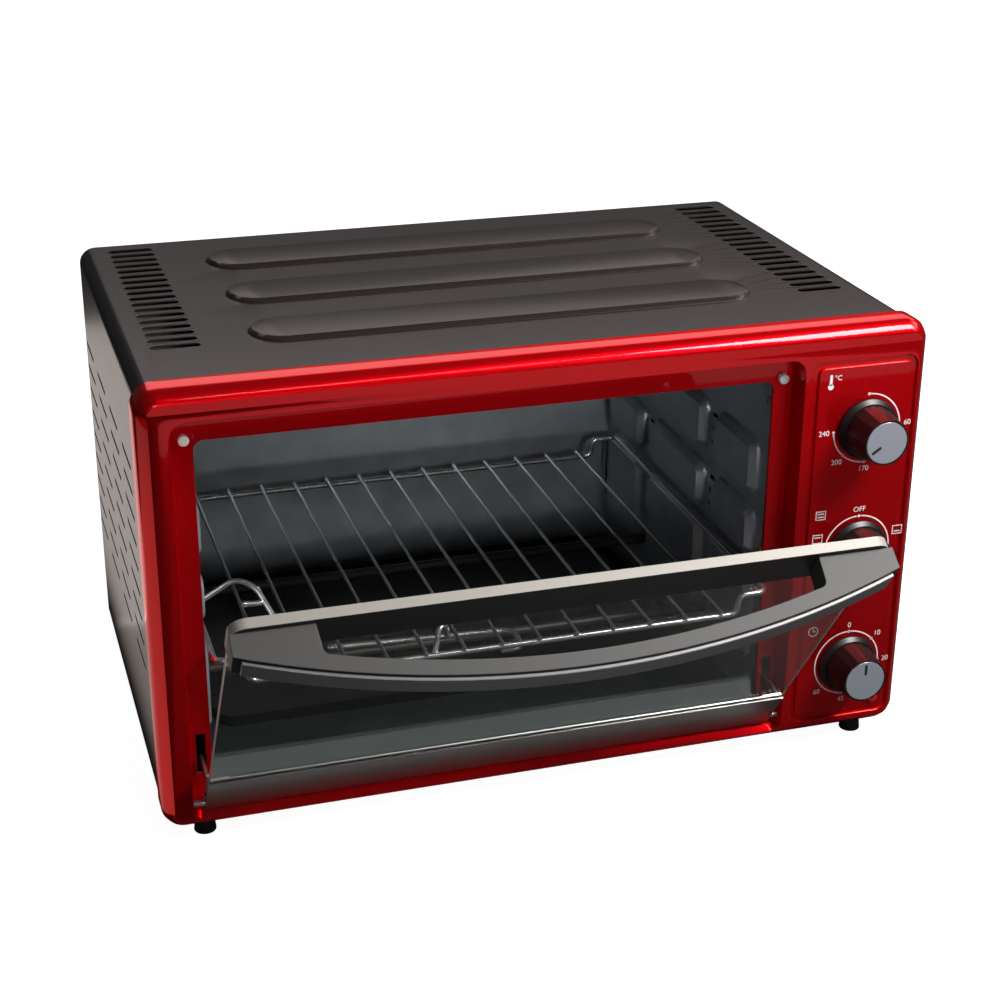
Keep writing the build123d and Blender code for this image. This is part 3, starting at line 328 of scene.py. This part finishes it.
for node, name in (("cavity_left_wall", "leftWall"), ("cavity_right_wall", "rightWall")):
    wallMesh = mergedMesh(node)
    roundEdges(wallMesh, wallSet["padRound"], padEdge, segments=5, angle=20.0)
    roundEdges(wallMesh, wallSet["footRound"], footEdge, segments=3, angle=20.0)
    flatLook(place(finishMesh(wallMesh, name, 50.0), "oven", zinc, node))
smoothCopy("cavity_back_wall", "backWall", zinc)
smoothCopy("crumb_tray", "tray", shadedFloorSteel)
# the cavity top and the cavity floor take the darkened steel and zinc: painted shade inside the body
plainFinish = {"rear_panel": darkCoat, "base_pan": zinc, "cavity_top": shadedFloorSteel, "cavity_floor": shadedSillZinc,
               "heater_insulators": ceramicMat, "thermostat": blackPlastic,
               "function_switch": blackPlastic, "timer": blackPlastic, "indicator_lamp": blackPlastic,
               "terminal_block": blackPlastic, "foot_screws": steelScrew}
for node, mat in plainFinish.items():
    nodes[node].data.materials.clear()
    nodes[node].data.materials.append(mat)
smoothCopy("cord_gland", "gland", blackPlastic)
print("body ready")


# turned pieces: a profile of radius and height, spun about an axis through a point
def spinProfile(bm, profile, base, axis, steps):
    side = axis.orthogonal().normalized()
    line = [bm.verts.new(base + side * r + axis * h) for r, h in profile]
    edges = [bm.edges.new(pair) for pair in zip(line, line[1:])]
    bmesh.ops.spin(bm, geom=line + edges, cent=base, axis=axis, angle=2 * math.pi, steps=steps,
                   use_merge=True)


def turned(name, profile, base, axis, steps=64, sharp=40.0):
    bm = bmesh.new()
    spinProfile(bm, profile, Vector(base), Vector(axis).normalized(), steps)
    bmesh.ops.remove_doubles(bm, verts=bm.verts, dist=1e-6)
    return finishMesh(bm, name, sharp)


# heating rods
rodSet = {"round": 0.5 * mm, "steps": 32}
for node in ("lower_heater_front", "lower_heater_rear", "upper_heater_front", "upper_heater_rear"):
    low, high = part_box(node)
    r, c, tall = (high.y - low.y) / 2, rodSet["round"], high.x - low.x
    profile = [(0, 0), (r - c, 0), (r, c), (r, tall - c), (r - c, tall), (0, tall)]
    start = (low.x, (low.y + high.y) / 2, (low.z + high.z) / 2)
    rod = turned(node + "Rod", profile, start, (1, 0, 0), rodSet["steps"])
    place(rod, "oven", rodSteelShaded, node)

# feet
footSet = {"radius": 6.4 * mm, "top": 5.6 * mm, "round": 0.8 * mm, "well": 3.3 * mm, "wellEdge": 0.3 * mm,
           "wellRoof": 0.1 * mm}
for node in ("foot_front_left", "foot_front_right", "foot_rear_left", "foot_rear_right"):
    low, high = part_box(node)
    r, c, well, edge = (footSet[k] for k in ("radius", "round", "well", "wellEdge"))
    profile = [(well, high.z / 2 - footSet["wellRoof"]), (well, edge), (well + edge, 0), (r - c, 0),
               (r - c * 0.3, c * 0.3), (r, c), (footSet["top"], high.z)]
    foot = turned(node + "Rubber", profile, ((low.x + high.x) / 2, (low.y + high.y) / 2, 0), (0, 0, 1))
    place(foot, "oven", rubberMat, node)

# bumpers and pilot light
bumperSet = {"round": 0.7 * mm, "soft": 0.2 * mm, "dimple": 0.9 * mm, "dimpleFoot": 0.7 * mm,
             "deep": 0.3 * mm, "steps": 40}
for node in ("bumper_left", "bumper_right"):
    low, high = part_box(node)
    r, tall = (high.x - low.x) / 2, high.y - low.y
    edge, soft, deep = (bumperSet[k] for k in ("round", "soft", "deep"))
    profile = [(r, 0), (r, tall - edge), (r - soft, tall - soft), (r - edge, tall),
               (bumperSet["dimple"], tall), (bumperSet["dimpleFoot"], tall - deep), (0, tall - deep)]
    disc = turned(node + "Disc", profile, backCentre(low, high), (0, -1, 0), bumperSet["steps"])
    place(disc, "oven", siliconeMat, node)
lensSet = {"dome": ((1.0, 1.2 * mm), (0.85, 0.5 * mm), (0.55, 0.12 * mm)), "steps": 40}
low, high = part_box("indicator_lens")
r, tall = (high.x - low.x) / 2, high.y - low.y
profile = [(r, 0), *((r * share, tall - drop) for share, drop in lensSet["dome"]), (0, tall)]
lens = turned("lens", profile, backCentre(low, high), (0, -1, 0), lensSet["steps"], 60.0)
place(lens, "oven", lensRed, "indicator_lens")


# pan-head screws with a cross painted black as the shade in its slot, one object for each group
screwSet = {"radius": 3.0 * mm, "tall": 1.8 * mm, "shank": 4.5 * mm, "shankRadius": 1.4 * mm, "steps": 28,
            "crossWide": 0.5 * mm, "crossReach": 1.15, "crossLevel": 0.93, "crossDeep": 0.2}


def screws(name, node, body, mat, spots, axis):
    bm = bmesh.new()
    axis = Vector(axis)
    side = axis.orthogonal().normalized()
    other = axis.cross(side)
    r, tall, shank, thin = (screwSet[k] for k in ("radius", "tall", "shank", "shankRadius"))
    profile = [(0, -shank), (thin, -shank), (thin, 0), (r, 0), (r, tall * 0.45), (r * 0.86, tall * 0.8),
               (r * 0.55, tall * 0.97), (0, tall)]
    for spot in spots:
        spot = Vector(spot)
        spinProfile(bm, profile, spot, axis, screwSet["steps"])
        for u, v in ((side, other), (other, side)):
            for vert in bmesh.ops.create_cube(bm, size=1.0)["verts"]:
                c = vert.co.copy()
                level = tall * screwSet["crossLevel"] + c.z * screwSet["crossDeep"] * tall
                flat = u * c.x * r * screwSet["crossReach"] + v * c.y * screwSet["crossWide"]
                vert.co = spot + flat + axis * level
    bmesh.ops.remove_doubles(bm, verts=bm.verts, dist=1e-6)
    obj = place(finishMesh(bm, name, 40.0), body, mat, node)
    obj.data.materials.append(blackPlastic)
    for poly in obj.data.polygons:
        if len(poly.vertices) == 4 and abs(poly.normal.dot(axis)) > 0.99 and poly.area < 5e-6:
            spread = [(obj.data.vertices[i].co - poly.center).length for i in poly.vertices]
            poly.material_index = 1 if max(spread) - min(spread) < 1e-7 else 0  # bars of the cross, painted black as slot shade


def solidGroups(node):
    bm = mergedMesh(node)
    left = set(bm.verts)
    found = []
    while left:
        stack = [left.pop()]
        group = []
        while stack:
            v = stack.pop()
            group.append(v.co.copy())
            for e in v.link_edges:
                w = e.other_vert(v)
                if w in left:
                    left.remove(w)
                    stack.append(w)
        found.append(group)
    bm.free()
    return found


def headSpots(node, axis):
    axis = Vector(axis)
    spots = []
    for group in solidGroups(node):
        centre = sum(group, Vector()) / len(group)
        reach = max(c.dot(axis) for c in group)
        spots.append(centre + axis * (reach - screwSet["tall"] - centre.dot(axis)))
    return spots


wallSpots = {1: [], -1: []}
for group in solidGroups("cavity_screws"):
    centre = sum(group, Vector()) / len(group)
    inward = 1 if centre.x < wallSet["middle"] else -1
    face = wallSet["middle"] - inward * wallSet["wallFace"]
    wallSpots[inward].append((face, centre.y, centre.z))
screws("wallScrewsLeft", "cavity_screws", "oven", brassMat, wallSpots[1], (1, 0, 0))
screws("wallScrewsRight", "cavity_screws", "oven", brassMat, wallSpots[-1], (-1, 0, 0))
screws("rearScrews", "rear_screws", "oven", steelScrew, headSpots("rear_screws", (0, 1, 0)), (0, 1, 0))
print("fasteners ready")

# door, set at the angle of the photograph
doorSet = {"angle": 36.5, "hinge": (-0.031, -0.060, 0.0225), "topTrimRound": 0.3 * mm,
           "lowTrimRound": 0.25 * mm, "handleRound": 0.8 * mm, "stripRound": 0.6 * mm, "stripSeat": 12 * mm}
lean = math.radians(doorSet["angle"])
doorUp = Vector((0, -math.sin(lean), math.cos(lean)))
doorOut = Vector((0, -math.cos(lean), -math.sin(lean)))
screws("handleScrews", "handle_screws", "door", steelScrew, headSpots("handle_screws", -doorOut), -doorOut)
glass = smoothCopy("door_glass", "glass", glassMat)
glass.data.materials.append(glassEdge)
for poly in glass.data.polygons:
    if abs(poly.normal.x) > 0.9:
        poly.material_index = 1  # ground side edges
topTrim = smoothCopy("door_top_trim", "topTrim", charcoal, doorSet["topTrimRound"])
topTrim.data.materials.append(litTrimTop)
for poly in topTrim.data.polygons:
    if poly.normal.dot(doorUp) > 0.3:
        poly.material_index = 1  # rolled top edge, painted lighter as a highlight from the light above
smoothCopy("door_bottom_trim", "bottomTrim", brushed, doorSet["lowTrimRound"])
handle = smoothCopy("handle_bar", "handleBar", handleGrey, doorSet["handleRound"], angle=30.0)
handle.data.materials.append(blackPlastic)
for poly in handle.data.polygons:
    outward = (poly.center - Vector(doorSet["hinge"])).dot(doorOut)
    if poly.normal.dot(doorOut) > 0.9 and outward > doorSet["stripSeat"]:
        poly.material_index = 1  # seat of the front strip, painted black as the shade in the gap at its end
smoothCopy("handle_strip", "handleStrip", stripGreyAndSheen, doorSet["stripRound"], angle=30.0)
for node in ("hinge_pin_left", "hinge_pin_right", "stay_arm_left", "stay_arm_right"):
    smoothCopy(node, node + "Steel", steelScrew)
print("door ready")


# round wires along a bent path
def bentPath(points, bend, steps=6):
    points = [Vector(q) for q in points]
    path = [points[0]]
    for before, here, after in zip(points, points[1:], points[2:]):
        reach = min(bend, (before - here).length * 0.49, (after - here).length * 0.49)
        start = here + (before - here).normalized() * reach
        end = here + (after - here).normalized() * reach
        for i in range(steps + 1):
            k = i / steps
            path.append(start * (1 - k) ** 2 + here * 2 * k * (1 - k) + end * k * k)
    path.append(points[-1])
    return path


def wires(name, node, body, mat, paths):
    curve = bpy.data.curves.new(name + "Line", "CURVE")
    curve.dimensions = "3D"
    curve.bevel_depth = 1.0
    curve.bevel_resolution = 4
    curve.use_fill_caps = True
    for path, radius, closed in paths:
        spline = curve.splines.new("POLY")
        spline.points.add(len(path) - 1)
        spline.use_cyclic_u = closed
        for point, co in zip(spline.points, path):
            point.co = (*co, 1)
            point.radius = radius
    bm = bmesh.new()
    bm.from_mesh(meshOf(bpy.data.objects.new(name + "Line", curve)))
    place(finishMesh(bm, name, 60.0), body, mat, node)


# rack: rim of thick wire, thin wires across, and the formed loops
rackSet = {"rail": 1.9 * mm, "thin": 1.15 * mm, "step": 17.5 * mm, "bend": 6 * mm, "wires": 13}
low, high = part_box("rack_frame")
r = rackSet["rail"]
x0, x1, y0, y1, z0, z1 = low.x + r, high.x - r, low.y + r, high.y - r, low.z + r, high.z - r
s = rackSet["step"]
rim = [(x0, y0, z1), (x0 + s, y0, z1), (x0 + s, y0, z0), (x1 - s, y0, z0), (x1 - s, y0, z1), (x1, y0, z1),
       (x1, y1, z1), (x1 - s, y1, z1), (x1 - s, y1, z0), (x0 + s, y1, z0), (x0 + s, y1, z1), (x0, y1, z1)]
rimPath = bentPath([rim[-1], *rim, rim[0]], rackSet["bend"])[1:-1]
wires("rackRim", "rack_frame", "rack", chromeWire, [(rimPath, r, True)])
low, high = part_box("rack_wires")
q = rackSet["thin"]
across = []
for i in range(rackSet["wires"]):
    x = low.x + q + (high.x - low.x - 2 * q) * i / (rackSet["wires"] - 1)
    across.append(([(x, low.y, high.z - q), (x, high.y, high.z - q)], q, False))
wires("rackWires", "rack_wires", "rack", chromeWire, across)
loopSet = {"left": -125 * mm, "right": -17.5 * mm, "leftDeep": 32 * mm, "deep": 24 * mm, "tail": 14 * mm,
           "bridge": -70 * mm, "wire": 1.75 * mm, "weld": 1.9 * mm,
           "bends": {"pull": 9 * mm, "bridge": 3 * mm, "arch": 12 * mm, "curl": 5 * mm}}
loopZ = z0 - r - q
pull = [(loopSet["left"], y0 + loopSet["leftDeep"], loopZ), (loopSet["right"], y0 + loopSet["deep"], loopZ),
        (loopSet["right"], y0 + 1 * mm, loopZ), (loopSet["right"] - loopSet["tail"], y0 + 1 * mm, loopZ)]
hook = loopSet["bridge"]
bridge = [(hook, y0 + 2 * mm, z0), (hook + 4 * mm, y0 + 6 * mm, z0 + 14 * mm),
          (hook + 8 * mm, y0 + 9 * mm, z0 + 14 * mm), (hook + 10 * mm, y0 + 12 * mm, z0 + 6 * mm)]
archX, archBack, archFront, w = x0 + 3.1 * mm, 8 * mm, -12 * mm, loopSet["wire"]
arch = [(archX, archBack, z1 + 1 * mm), (archX + 21 * mm, archBack, z1 + 13 * mm),
        (archX + 32 * mm, archBack - 4 * mm, z1 + 9 * mm), (archX + 40 * mm, archFront, z0 + r + 4 * q)]
curl = [(archX + 33 * mm, archBack - 5 * mm, z1 + 8 * mm), (archX + 36 * mm, archFront + 8 * mm, z1 + 1 * mm),
        (archX + 24 * mm, archFront + 8 * mm, z1 + 2 * mm)]
loops = {"pull": pull, "bridge": bridge, "arch": arch, "curl": curl}
loopPaths = [(bentPath(points, loopSet["bends"][loop]), w, False) for loop, points in loops.items()]
wires("rackLoops", "rack_loops", "rack", chromeWire, loopPaths)
bm = bmesh.new()
beads = [(path[0][0], y, z0 + r) for path, _, _ in across for y in (y0, y1)] + [curl[-1]]
for bead in beads:
    made = bmesh.ops.create_uvsphere(bm, u_segments=16, v_segments=10, radius=loopSet["weld"])["verts"]
    bmesh.ops.translate(bm, verts=made, vec=bead)
place(finishMesh(bm, "rackWelds", 60.0), "rack", chromeWire)
print("rack ready")

# knobs: turned skirt, tapered grip of flats with a sunk front, cap and pointer mark
knobSet = {"skirt": 18.5 * mm, "skirtTall": 4.5 * mm, "bevel": 2.2 * mm, "skirtEdge": 0.3 * mm,
           "bore": 3.2 * mm, "base": 15.6 * mm, "tuck": 2 * mm, "top": 13.8 * mm, "flats": 16,
           "edge": 0.5 * mm, "lip": 12.9 * mm, "sunk": 1.2 * mm, "capShare": 0.4925, "capEdge": 0.15 * mm,
           "turns": {"temperature": 236, "function": 0, "timer": 0}}
pointerSet = {"place": 7.4 * mm, "radius": 0.9 * mm, "reach": 2.6 * mm, "thick": 1.2 * mm,
              "barThick": 1.18 * mm, "sink": 0.55 * mm}
for dial, degrees in knobSet["turns"].items():
    low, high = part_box(dial + "_knob")
    centre = backCentre(low, high)
    tall = high.y - low.y
    k = knobSet
    profile = [(k["bore"], 0), (k["skirt"] - k["skirtEdge"], 0), (k["skirt"], k["skirtEdge"]),
               (k["skirt"], k["skirtTall"] - k["bevel"]), (k["skirt"] - k["bevel"], k["skirtTall"]),
               (k["base"] - k["tuck"], k["skirtTall"])]
    skirt = turned(dial + "Skirt", profile, centre, (0, -1, 0))
    bm = bmesh.new()
    bm.from_mesh(skirt.data)
    bpy.data.objects.remove(skirt)
    grip = bmesh.ops.create_cone(bm, segments=k["flats"], radius1=k["base"], radius2=k["top"], cap_ends=False,
                                 depth=tall - k["skirtTall"])["verts"]
    bmesh.ops.rotate(bm, verts=grip, cent=(0, 0, 0), matrix=Matrix.Rotation(math.pi / 2, 3, "X"))
    bmesh.ops.translate(bm, verts=grip, vec=centre - Vector((0, (tall + k["skirtTall"]) / 2, 0)))
    gripEdges = {e for v in grip for e in v.link_edges}
    sides = [e for e in gripEdges if abs(e.verts[0].co.y - e.verts[1].co.y) > 1 * mm]
    bmesh.ops.bevel(bm, geom=sides, offset=k["edge"], segments=2, profile=0.5, affect="EDGES", material=-1)
    front = [e for e in bm.edges if e.is_boundary and all(v.co.y < low.y + 0.1 * mm for v in e.verts)]
    inner = bmesh.ops.extrude_edge_only(bm, edges=front)["geom"]
    for v in vertsOf(inner):
        flat = Vector((v.co.x - centre.x, 0, v.co.z - centre.z))
        v.co = Vector((centre.x, low.y, centre.z)) + flat.normalized() * k["lip"]
    sunk = bmesh.ops.extrude_edge_only(bm, edges=edgesOf(inner))["geom"]
    bmesh.ops.translate(bm, verts=vertsOf(sunk), vec=(0, k["sunk"], 0))
    bmesh.ops.contextual_create(bm, geom=edgesOf(sunk))
    place(finishMesh(bm, dial + "Knob", 6.0), bodyOf[dial + "_knob"], knobDark, dial + "_knob")
    capLow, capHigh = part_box(dial + "_cap")
    wide, thick, edge = (capHigh.x - capLow.x) * k["capShare"], capHigh.y - capLow.y, k["capEdge"]
    profile = [(0, 0), (wide, 0), (wide, thick - edge), (wide - edge, thick), (0, thick)]
    cap = turned(dial + "Cap", profile, (centre.x, capHigh.y, centre.z), (0, -1, 0))
    place(cap, bodyOf[dial + "_cap"], capGrey, dial + "_cap")
    p = pointerSet
    turn = math.radians(degrees)
    spot = centre + Vector((math.sin(turn), 0, math.cos(turn))) * p["place"]
    bm = bmesh.new()
    for end in (-1, 1):
        made = bmesh.ops.create_cone(bm, cap_ends=True, segments=24, radius1=p["radius"], radius2=p["radius"],
                                     depth=p["thick"])
        bmesh.ops.translate(bm, verts=made["verts"], vec=(0, end * p["reach"], 0))
    made = bmesh.ops.create_cube(bm, size=1.0)
    bmesh.ops.scale(bm, verts=made["verts"], vec=(2 * p["radius"], 2 * p["reach"], p["barThick"]))
    bmesh.ops.rotate(bm, verts=bm.verts, cent=(0, 0, 0), matrix=Matrix.Rotation(math.pi / 2, 3, "X"))
    bmesh.ops.rotate(bm, verts=bm.verts, cent=(0, 0, 0), matrix=Matrix.Rotation(turn, 3, "Y"))
    bmesh.ops.translate(bm, verts=bm.verts, vec=Vector((spot.x, low.y + p["sink"], spot.z)))
    place(finishMesh(bm, dial + "Pointer", 40.0), bodyOf[dial + "_knob"], blackPlastic)
    smoothCopy(dial + "_shaft", dial + "Shaft", steelScrew)
print("knobs ready")

# printed marks on the panel
markSet = {"ring": 21 * mm, "wide": 0.75 * mm, "thick": 0.06 * mm, "number": 3.4 * mm, "away": 25.2 * mm,
           "digit": 0.9 * mm, "sink": 0.02 * mm, "dot": 0.9 * mm, "fontShare": 1.35}
panelY = bezelLow.y + markSet["sink"]


def flatShape(bm, outline, depth):
    verts = [bm.verts.new((x, panelY, z)) for x, z in outline]
    face = bm.faces.new(verts)
    lifted = bmesh.ops.extrude_face_region(bm, geom=[face])["geom"]
    bmesh.ops.translate(bm, verts=vertsOf(lifted), vec=(0, -depth, 0))


def arcShape(bm, x, z, radius, wide, start, end, steps):
    turn = [math.radians(start + (end - start) * i / steps) for i in range(steps + 1)]
    outer = [(x + (radius + wide / 2) * math.sin(a), z + (radius + wide / 2) * math.cos(a)) for a in turn]
    inner = [(x + (radius - wide / 2) * math.sin(a), z + (radius - wide / 2) * math.cos(a)) for a in turn]
    for i in range(steps):
        flatShape(bm, [outer[i], outer[i + 1], inner[i + 1], inner[i]], markSet["thick"])


def dot(bm, x, z, wide, steps):
    arcShape(bm, x, z, wide / 2, wide, 0, 360, steps)


def barShape(bm, x, z, wide, tall):
    flatShape(bm, [(x - wide / 2, z - tall / 2), (x + wide / 2, z - tall / 2), (x + wide / 2, z + tall / 2),
                   (x - wide / 2, z + tall / 2)], markSet["thick"])


def words(text, x, z, tall):
    data = bpy.data.curves.new("mark" + text, "FONT")
    data.body = text
    data.size = tall * markSet["fontShare"]
    data.extrude = markSet["thick"] / 2
    data.align_x = "CENTER"
    data.align_y = "CENTER"
    mesh = meshOf(bpy.data.objects.new("mark" + text, data))
    upright = Matrix.Rotation(math.pi / 2, 4, "X")
    mesh.transform(Matrix.Translation((x, panelY - markSet["thick"] / 2, z)) @ upright)
    return mesh


dials = {"temperature": ([(0, 92), (176, 268)],
                         [("60", 88), ("120", 134), ("170", 180), ("200", 222), ("240", 268)]),
         "function": ([(4, 356)], [("OFF", 0)]),
         "timer": ([(-60, 300)], [("0", 0), ("10", 48), ("20", 92), ("30", 136), ("45", 184), ("60", 226)])}
ring = markSet["ring"]
for dial, (arcs, labels) in dials.items():
    low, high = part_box(dial + "_knob")
    x, z = (low.x + high.x) / 2, (low.z + high.z) / 2
    bm = bmesh.new()
    for start, end in arcs:
        arcShape(bm, x, z, ring, markSet["wide"], start, end, max(8, int((end - start) / 5)))
    for text, turn in labels:
        a = math.radians(turn)
        away = markSet["away"] + markSet["digit"] * (len(text) - 1) * abs(math.sin(a))
        bm.from_mesh(words(text, x + away * math.sin(a), z + away * math.cos(a), markSet["number"]))
        dot(bm, x + ring * math.sin(a), z + ring * math.cos(a), markSet["dot"], 14)
    if dial == "temperature":  # start of the scale and thermometer sign
        dot(bm, x, z + ring, markSet["dot"], 14)
        barShape(bm, x - 25 * mm, z + 31.5 * mm, 1.6 * mm, 6.5 * mm)
        dot(bm, x - 25 * mm, z + 27.5 * mm, 1.8 * mm, 16)
        bm.from_mesh(words("\u00b0C", x - 20.5 * mm, z + 32.5 * mm, 3.2 * mm))
    if dial == "function":  # oven signs: rods above, below and both
        for cx, cz, rods in ((x - 25 * mm, z + 24 * mm, (1.6, -1.6)), (x - 26 * mm, z + 9 * mm, (1.6,)),
                             (x + 26 * mm, z + 9 * mm, (-1.6,))):
            for side in (-1, 1):
                barShape(bm, cx + side * 3 * mm, cz, 0.5 * mm, 5.2 * mm)
                barShape(bm, cx, cz + side * 2.6 * mm, 6.5 * mm, 0.5 * mm)
            for level in rods:
                barShape(bm, cx, cz + level * 0.6 * mm, 4 * mm, 0.6 * mm)
    if dial == "timer":  # clock sign
        arcShape(bm, x - 25 * mm, z + 27 * mm, 3 * mm, 0.6 * mm, 0, 360, 28)
        barShape(bm, x - 25 * mm, z + 28 * mm, 0.5 * mm, 2.4 * mm)
        barShape(bm, x - 24.2 * mm, z + 27 * mm, 1.8 * mm, 0.5 * mm)
    place(finishMesh(bm, dial + "Marks", 30.0), "oven", printWhite)
print("marks ready")

# camera, at the place worked out from the photograph
cameraSet = {"place": (-0.32057, -0.99110, 0.60777), "yaw": 17.31, "pitch": 23.34, "roll": 0.376,
             "lens": 69.02, "sensor": 36}
yaw, pitch, roll = (math.radians(cameraSet[k]) for k in ("yaw", "pitch", "roll"))
level = Vector((math.sin(yaw), math.cos(yaw), 0))
right = Vector((math.cos(yaw), -math.sin(yaw), 0))
forward = math.cos(pitch) * level - math.sin(pitch) * Vector((0, 0, 1))
upward = math.sin(pitch) * level + math.cos(pitch) * Vector((0, 0, 1))
camX = math.cos(roll) * right + math.sin(roll) * upward
camY = -math.sin(roll) * right + math.cos(roll) * upward
camData = bpy.data.cameras.new("camera")
camData.lens = cameraSet["lens"]
camData.sensor_width = cameraSet["sensor"]
camera = bpy.data.objects.new("camera", camData)
turn = Matrix((camX, camY, -forward)).transposed().to_4x4()
camera.matrix_world = Matrix.Translation(cameraSet["place"]) @ turn
scene.collection.objects.link(camera)
scene.camera = camera

# lights
lightSet = [("keyLight", (0.55, -0.45, 0.85), (0.17, -0.06, 0.22), (0.35, 0.35), 13, (1.0, 0.98, 0.96)),
            ("stripLight", (0.3, -0.55, 0.95), (0, -0.06, 0.25), (0.9, 0.04), 1.2, (1.0, 0.98, 0.97)),
            ("topLight", (1.35, 0.15, 1.3), (0.1, -0.06, 0.27), (0.8, 0.5), 6, (1.0, 0.98, 0.97)),
            ("backLight", (0.6, 1.7, 1.4), (0, 0, 0.25), (2.6, 0.7), 9, (1.0, 0.96, 0.94)),
            ("floorGlow", (-0.55, 0.07, 0.005), (-0.55, 0.08, 1.0), (0.62, 0.3), 0.35, (1.0, 0.88, 0.80)),
            ("sideGlow", (-0.37, 0.55, 0.005), (-0.37, 0.56, 1.0), (0.26, 0.7), 0.6, (1.0, 0.9, 0.84)),
            ("frontGlow", (0.25, -0.9, 0.01), (0.25, -0.89, 1.0), (1.4, 0.5), 1.3, (1.0, 0.97, 0.97)),
            ("lipGlow", (-0.05, -0.076, 0.002), (-0.05, -0.075, 1.0), (0.38, 0.014), 0.004,
             (0.92, 1.0, 0.98))]
for name, spot, aim, size, power, tint in lightSet:
    data = bpy.data.lights.new(name, "AREA")
    data.shape = "RECTANGLE"
    data.size, data.size_y = size
    data.energy = power
    data.color = tint
    lamp = bpy.data.objects.new(name, data)
    look = (Vector(aim) - Vector(spot)).to_track_quat("-Z", "Y")
    lamp.matrix_world = Matrix.Translation(spot) @ look.to_matrix().to_4x4()
    lamp.visible_camera = False
    scene.collection.objects.link(lamp)
spotSet = {"place": (-0.18, -1.6, 0.68), "aim": (0, 0.15, 0.14), "power": 44, "cone": 13.0, "blend": 0.6,
           "soft": 0.18}
spotData = bpy.data.lights.new("cavityLight", "SPOT")
spotData.energy = spotSet["power"]
spotData.spot_size = math.radians(spotSet["cone"])
spotData.spot_blend = spotSet["blend"]
spotData.shadow_soft_size = spotSet["soft"]
spotLamp = bpy.data.objects.new("cavityLight", spotData)
look = (Vector(spotSet["aim"]) - Vector(spotSet["place"])).to_track_quat("-Z", "Y")
spotLamp.matrix_world = Matrix.Translation(spotSet["place"]) @ look.to_matrix().to_4x4()
scene.collection.objects.link(spotLamp)

# white ground and background
world = bpy.data.worlds.new("world")
scene.world = world
world.use_nodes = True
tree = world.node_tree
rays = tree.nodes.new("ShaderNodeLightPath")
white = tree.nodes.new("ShaderNodeBackground")
white.inputs["Color"].default_value = (1, 1, 1, 1)
white.inputs["Strength"].default_value = 1.0
dim = tree.nodes["Background"]
dim.inputs["Color"].default_value = (0.9, 0.93, 1.0, 1)
faint = tree.nodes.new("ShaderNodeMapRange")
faint.inputs["To Min"].default_value = 0.1
faint.inputs["To Max"].default_value = 0.06  # in reflections
tree.links.new(rays.outputs["Is Glossy Ray"], faint.inputs["Value"])
tree.links.new(faint.outputs["Result"], dim.inputs["Strength"])
swap = tree.nodes.new("ShaderNodeMixShader")
tree.links.new(rays.outputs["Is Camera Ray"], swap.inputs["Fac"])
tree.links.new(dim.outputs["Background"], swap.inputs[1])
tree.links.new(white.outputs["Background"], swap.inputs[2])
tree.links.new(swap.outputs["Shader"], tree.nodes["World Output"].inputs["Surface"])

floorMesh = bmesh.new()
bmesh.ops.create_grid(floorMesh, x_segments=1, y_segments=1, size=4.0)
floor = finishMesh(floorMesh, "floor")
floorPaint = shader("floorPaint", (0.5, 0.5, 0.5), 0.9)
ftree = floorPaint.node_tree
seen = ftree.nodes.new("ShaderNodeLightPath")
shine = ftree.nodes.new("ShaderNodeMath")
shine.operation = "MULTIPLY"
shine.inputs[1].default_value = 0.95
tone = ftree.nodes.new("ShaderNodeMapRange")
tone.inputs["To Min"].default_value = 0.03  # as the oven sees it
tone.inputs["To Max"].default_value = 0.5
ftree.links.new(seen.outputs["Is Camera Ray"], tone.inputs["Value"])
ftree.links.new(tone.outputs["Result"], ftree.nodes["Principled BSDF"].inputs["Base Color"])
ftree.links.new(seen.outputs["Is Camera Ray"], shine.inputs[0])
ftree.nodes["Principled BSDF"].inputs["Emission Color"].default_value = (1, 1, 1, 1)
ftree.links.new(shine.outputs["Value"], ftree.nodes["Principled BSDF"].inputs["Emission Strength"])
floor.data.materials.append(floorPaint)
scene.collection.objects.link(floor)
scene.view_settings.view_transform = "Standard"
print("stage ready")
